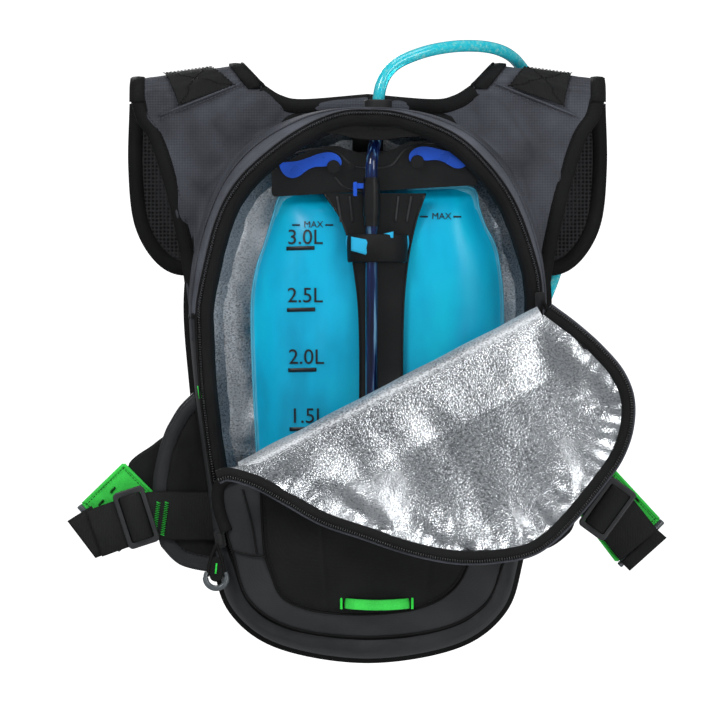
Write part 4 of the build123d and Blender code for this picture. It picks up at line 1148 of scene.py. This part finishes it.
def build_fittings():
    """Ribs and edges of the stiff plate, lines along the bar's edges in lighter plastic as painted
    highlights, the hose keeper with its tabs, and the hanger.
    """
    for k, x in enumerate((-24, -14, 24, 34)):
        rib = between((x, -61.0, 136), (x + (3 - x) * 0.12, -61.0, 115.6), 6)
        tube(f"plate_rib_{k}", rib, 1.0, SLIDE_PLASTIC)
    contour = [(-72, 158), (-58, 169), (-38, 173), (-24, 170), (-12, 160), (0, 158), (18, 160), (30, 173),
               (52, 177), (72, 168), (82, 160)]
    left_edge = [(-34, 138), (-19, 114), (-10, 76), (-6, 20), (-7, -120)]
    right_edge = [(45, 138), (37, 114), (30, 76), (27, 20), (27, -120)]
    lines = (
        ("plate_edge_0", left_edge, 60, -60.6, 0.9, BLACK_PLASTIC),
        ("plate_edge_1", right_edge, 60, -60.6, 0.9, BLACK_PLASTIC),
        # The bar's edge lines are drawn in the lighter slide plastic as painted highlights on the glossy
        # black bar.
        ("bar_highlight_line", contour, 90, -56.4, 0.8, SLIDE_PLASTIC),
        ("bar_highlight_line_low", [(-26, 151), (-18, 143), (-4, 139)], 30, -56.4, 0.7, SLIDE_PLASTIC),
    )
    for name, points, count, y, radius, material in lines:
        tube(name, at_depth(smooth(points, count), y), radius, material)

    turns = [math.pi * (-0.5 + share) for share in shares(24)]
    wrap = [Vector((7.5 + 22.5 * math.sin(a), -66 - 15.2 * math.cos(a), 95)) for a in turns]
    outs = [Vector((p.x - 7.5, p.y + 60, 0)).normalized() for p in wrap]
    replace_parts(ribbon("keeper_wrap", wrap, 22, 1.6, BLACK, facing=outs), "hose_keeper")
    for name, corners, y, thick in (("keeper_tab", [(-13, 104), (2, 101), (1, 89), (-13, 93)], -80.6, 1.6),
                                    ("keeper_tip", [(12, 106), (20, 108), (20, 103), (13, 102)], -79.8, 1.4)):
        panel(name, corners, y, thick, CYAN_TAB, cells=(6, 6), puff=0.2)
    for (side, name), x in zip(SIDES, (-15, 30)):
        slit = [(x + side * 0.8, -62.0, 105), (x + side * 1.4, -62.0, 98), (x - side * 2, -62.0, 84)]
        tube(f"keeper_slot_{name}", smooth(slit, 14), 0.8, CYAN_TAB)

    strap = [Vector((0, -31 - 2 * math.sin(s * math.pi), 198 - 28 * s)) for s in shares(14)]
    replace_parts(ribbon("hanger_tab", strap, STRAP_WIDE, 1.6, WEBBING), "reservoir_hanger")


# ---- hose, zip pulls and hardware -----------------------------------------------------
def build_hose():
    """The drinking hose on one smooth curve."""
    curve = bpy.data.curves.new("hose_line", "CURVE")
    curve.dimensions = "3D"
    curve.resolution_u = 12
    spline = curve.splines.new("NURBS")
    spline.points.add(len(HOSE_ROUTE) - 1)
    for point, place in zip(spline.points, HOSE_ROUTE):
        point.co = (*(Vector(place) * MM), 1)
    spline.order_u = 3
    spline.use_endpoint_u = True
    guide = placed("hose_line", curve)
    bpy.context.view_layer.update()
    path = [v.co / MM for v in bpy.data.meshes.new_from_object(guide).vertices]
    bpy.data.objects.remove(guide)
    hose = tube("drinking_hose", spaced(path, 260), HOSE_RADIUS, HOSE, None, 18)
    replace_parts(hose, "drinking_hose_arc", "drinking_hose_drop")
    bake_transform(hose)


def build_pulls():
    """Zip pulls: a cord loop through the slider and a moulded U at its end."""
    y = -94.5
    for name, x, z, length, half in (("left", -117.6, -134, 35, 8.2), ("right", 136, 55, 29, 6.4)):
        body = f"pull_{name}"
        for label, way in (("a", 1), ("b", -1)):
            cord = [(x, y, z - 1), (x + way * 3.2, y, z - 9), (x + way * half * 0.72, y, z - length * 0.55),
                    (x + way * half * 0.8, y, z - length + 9)]
            tube(f"pull_cord_{label}_{name}", smooth(cord, 24), 1.35, BINDING, body)
        around = [Vector((x + math.cos(a) * half, y, z - length + half + math.sin(a) * half))
                  for a in (math.radians(150 + 240 * share) for share in shares(28))]
        ring = tube(f"pull_ring_{name}", around, [2.3 if 3 < k < 25 else 1.8 for k in range(29)],
                    GREY_PLASTIC, body, 10)
        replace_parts(ring, f"zip_pull_{name}")
        if name == "left":
            web = [(x - 3, z - 12), (x + 3, z - 12), (x + 5, z - 26), (x, z - 30), (x - 5, z - 26)]
            filled("pull_web", smooth(web, 40, True), (x, z - 21), 6, y - 0.8, BINDING, body, y + 0.8)
            tick = between((x + 0.4, y - 1.3, z - 16), (x - 0.4, y - 1.3, z - 23.2), 4)
            beads("pull_tick", tick, 0.8, (0.9, 1.6, 0.8), THREAD, body)


def finish_cad():
    """Give the hard nodes their materials and soften their edges by these widths."""
    looks = (
        (BLACK_PLASTIC, {"closure_bar": 1.2, "closure_rail": 1.0, "reservoir_spine": 0.8,
                         "closure_screws": 0.4, "lever_pins": 0.8, "hose_connector": 0.8,
                         "outlet_port": 0.8, "hose_clip": 0.6,
                         "strap_adjuster_left": 0.7, "strap_adjuster_right": 0.7}),
        (BLUE_PLASTIC, {"lever_left": 1.2, "lever_right": 1.2, "release_button": 0.6}),
        (SLIDE_PLASTIC, {"triglide_left": 0.7, "triglide_right": 0.7}),
        (GREY_PLASTIC, {"loop_bar_left": 0.0, "loop_bar_right": 0.0}),
        (RUBBER, {"hose_port": 0.8, "bite_valve": 0.8}),
        (TOOTH, {"zip_slider_left": 0.6, "zip_slider_right": 0.6}),
        (INNER_HOSE, {"inner_hose": 0.0}),
    )
    for material, nodes in looks:
        for node, bevel in nodes.items():
            made = bpy.data.objects[node]
            made.data.materials.clear()
            made.data.materials.append(material)
            if bevel:
                soften = made.modifiers.new("soften", "BEVEL")
                soften.width = bevel * MM
                soften.segments = 3
                soften.limit_method = "ANGLE"
                soften.angle_limit = math.radians(40)


# ---- stage ----------------------------------------------------------------------------
def stage():
    """Pale backdrop and floor, soft studio lights and the camera."""
    for name, glow in (("backdrop", 1.0), ("floor", 0.0)):
        pale = bpy.data.materials.new("stage_" + name)
        pale.use_nodes = True
        shader = pale.node_tree.nodes["Principled BSDF"]
        shader.inputs["Base Color"].default_value = (0.85, 0.85, 0.85, 1)
        shader.inputs["Roughness"].default_value = 0.9
        shader.inputs["Emission Color"].default_value = (1, 1, 1, 1)
        shader.inputs["Emission Strength"].default_value = glow
        mesh = bpy.data.meshes.new(name)
        shape = bmesh.new()
        if glow:
            bmesh.ops.create_uvsphere(shape, u_segments=32, v_segments=24, radius=14)
        else:
            bmesh.ops.create_circle(shape, cap_ends=True, segments=48, radius=2.4)
        shape.to_mesh(mesh)
        shape.free()
        mesh.materials.append(pale)
        made = placed(name, mesh)
        made.location.z = 0 if glow else -0.46
        made.visible_diffuse = not glow
        made.visible_glossy = False
        made.visible_transmission = not glow
        made.visible_shadow = False

    scene = bpy.context.scene
    scene.world = bpy.data.worlds.new("studio")
    scene.world.use_nodes = True
    sky = scene.world.node_tree.nodes["Background"]
    sky.inputs["Color"].default_value = (0.93, 0.97, 1.0, 1)
    sky.inputs["Strength"].default_value = 0.24
    for name, place, size, power in (
        ("key", (-1.3, -2.2, 1.6), 0.9, 27), ("fill", (1.6, -2.0, 0.9), 0.9, 11),
        ("top", (0.1, -0.5, 1.9), 1.0, 10), ("glint", (0.9, -1.5, -0.5), 0.5, 5),
        ("behind", (-0.9, 2.0, 1.2), 1.0, 26),
    ):
        lamp = bpy.data.lights.new(name, "AREA")
        lamp.size = size
        lamp.energy = power
        made = placed(name, lamp)
        made.location = place
        made.rotation_euler = (Vector((0, -0.05, 0)) - Vector(place)).to_track_quat("-Z", "Y").to_euler()
    scene.view_settings.view_transform = "Standard"

    far = 6.0
    view_width = 0.5616
    lens = bpy.data.cameras.new("camera")
    lens.sensor_width = 36
    lens.lens = lens.sensor_width * far / view_width
    lens.clip_end = 50
    scene.camera = placed("camera", lens)
    scene.camera.location = (-0.006, -far - 0.06, 0.008)
    scene.camera.rotation_euler = (math.radians(90), 0, 0)


stage()
build_hose()
build_body()
build_back()
build_lining()
build_front()
build_flap()
for side, name in SIDES:
    build_yoke(side, name)
    build_strap(side, name)
    build_wing(side, name)
    build_belt(side, name)
build_reservoir()
build_fittings()
build_pulls()
covered_bars()
finish_cad()
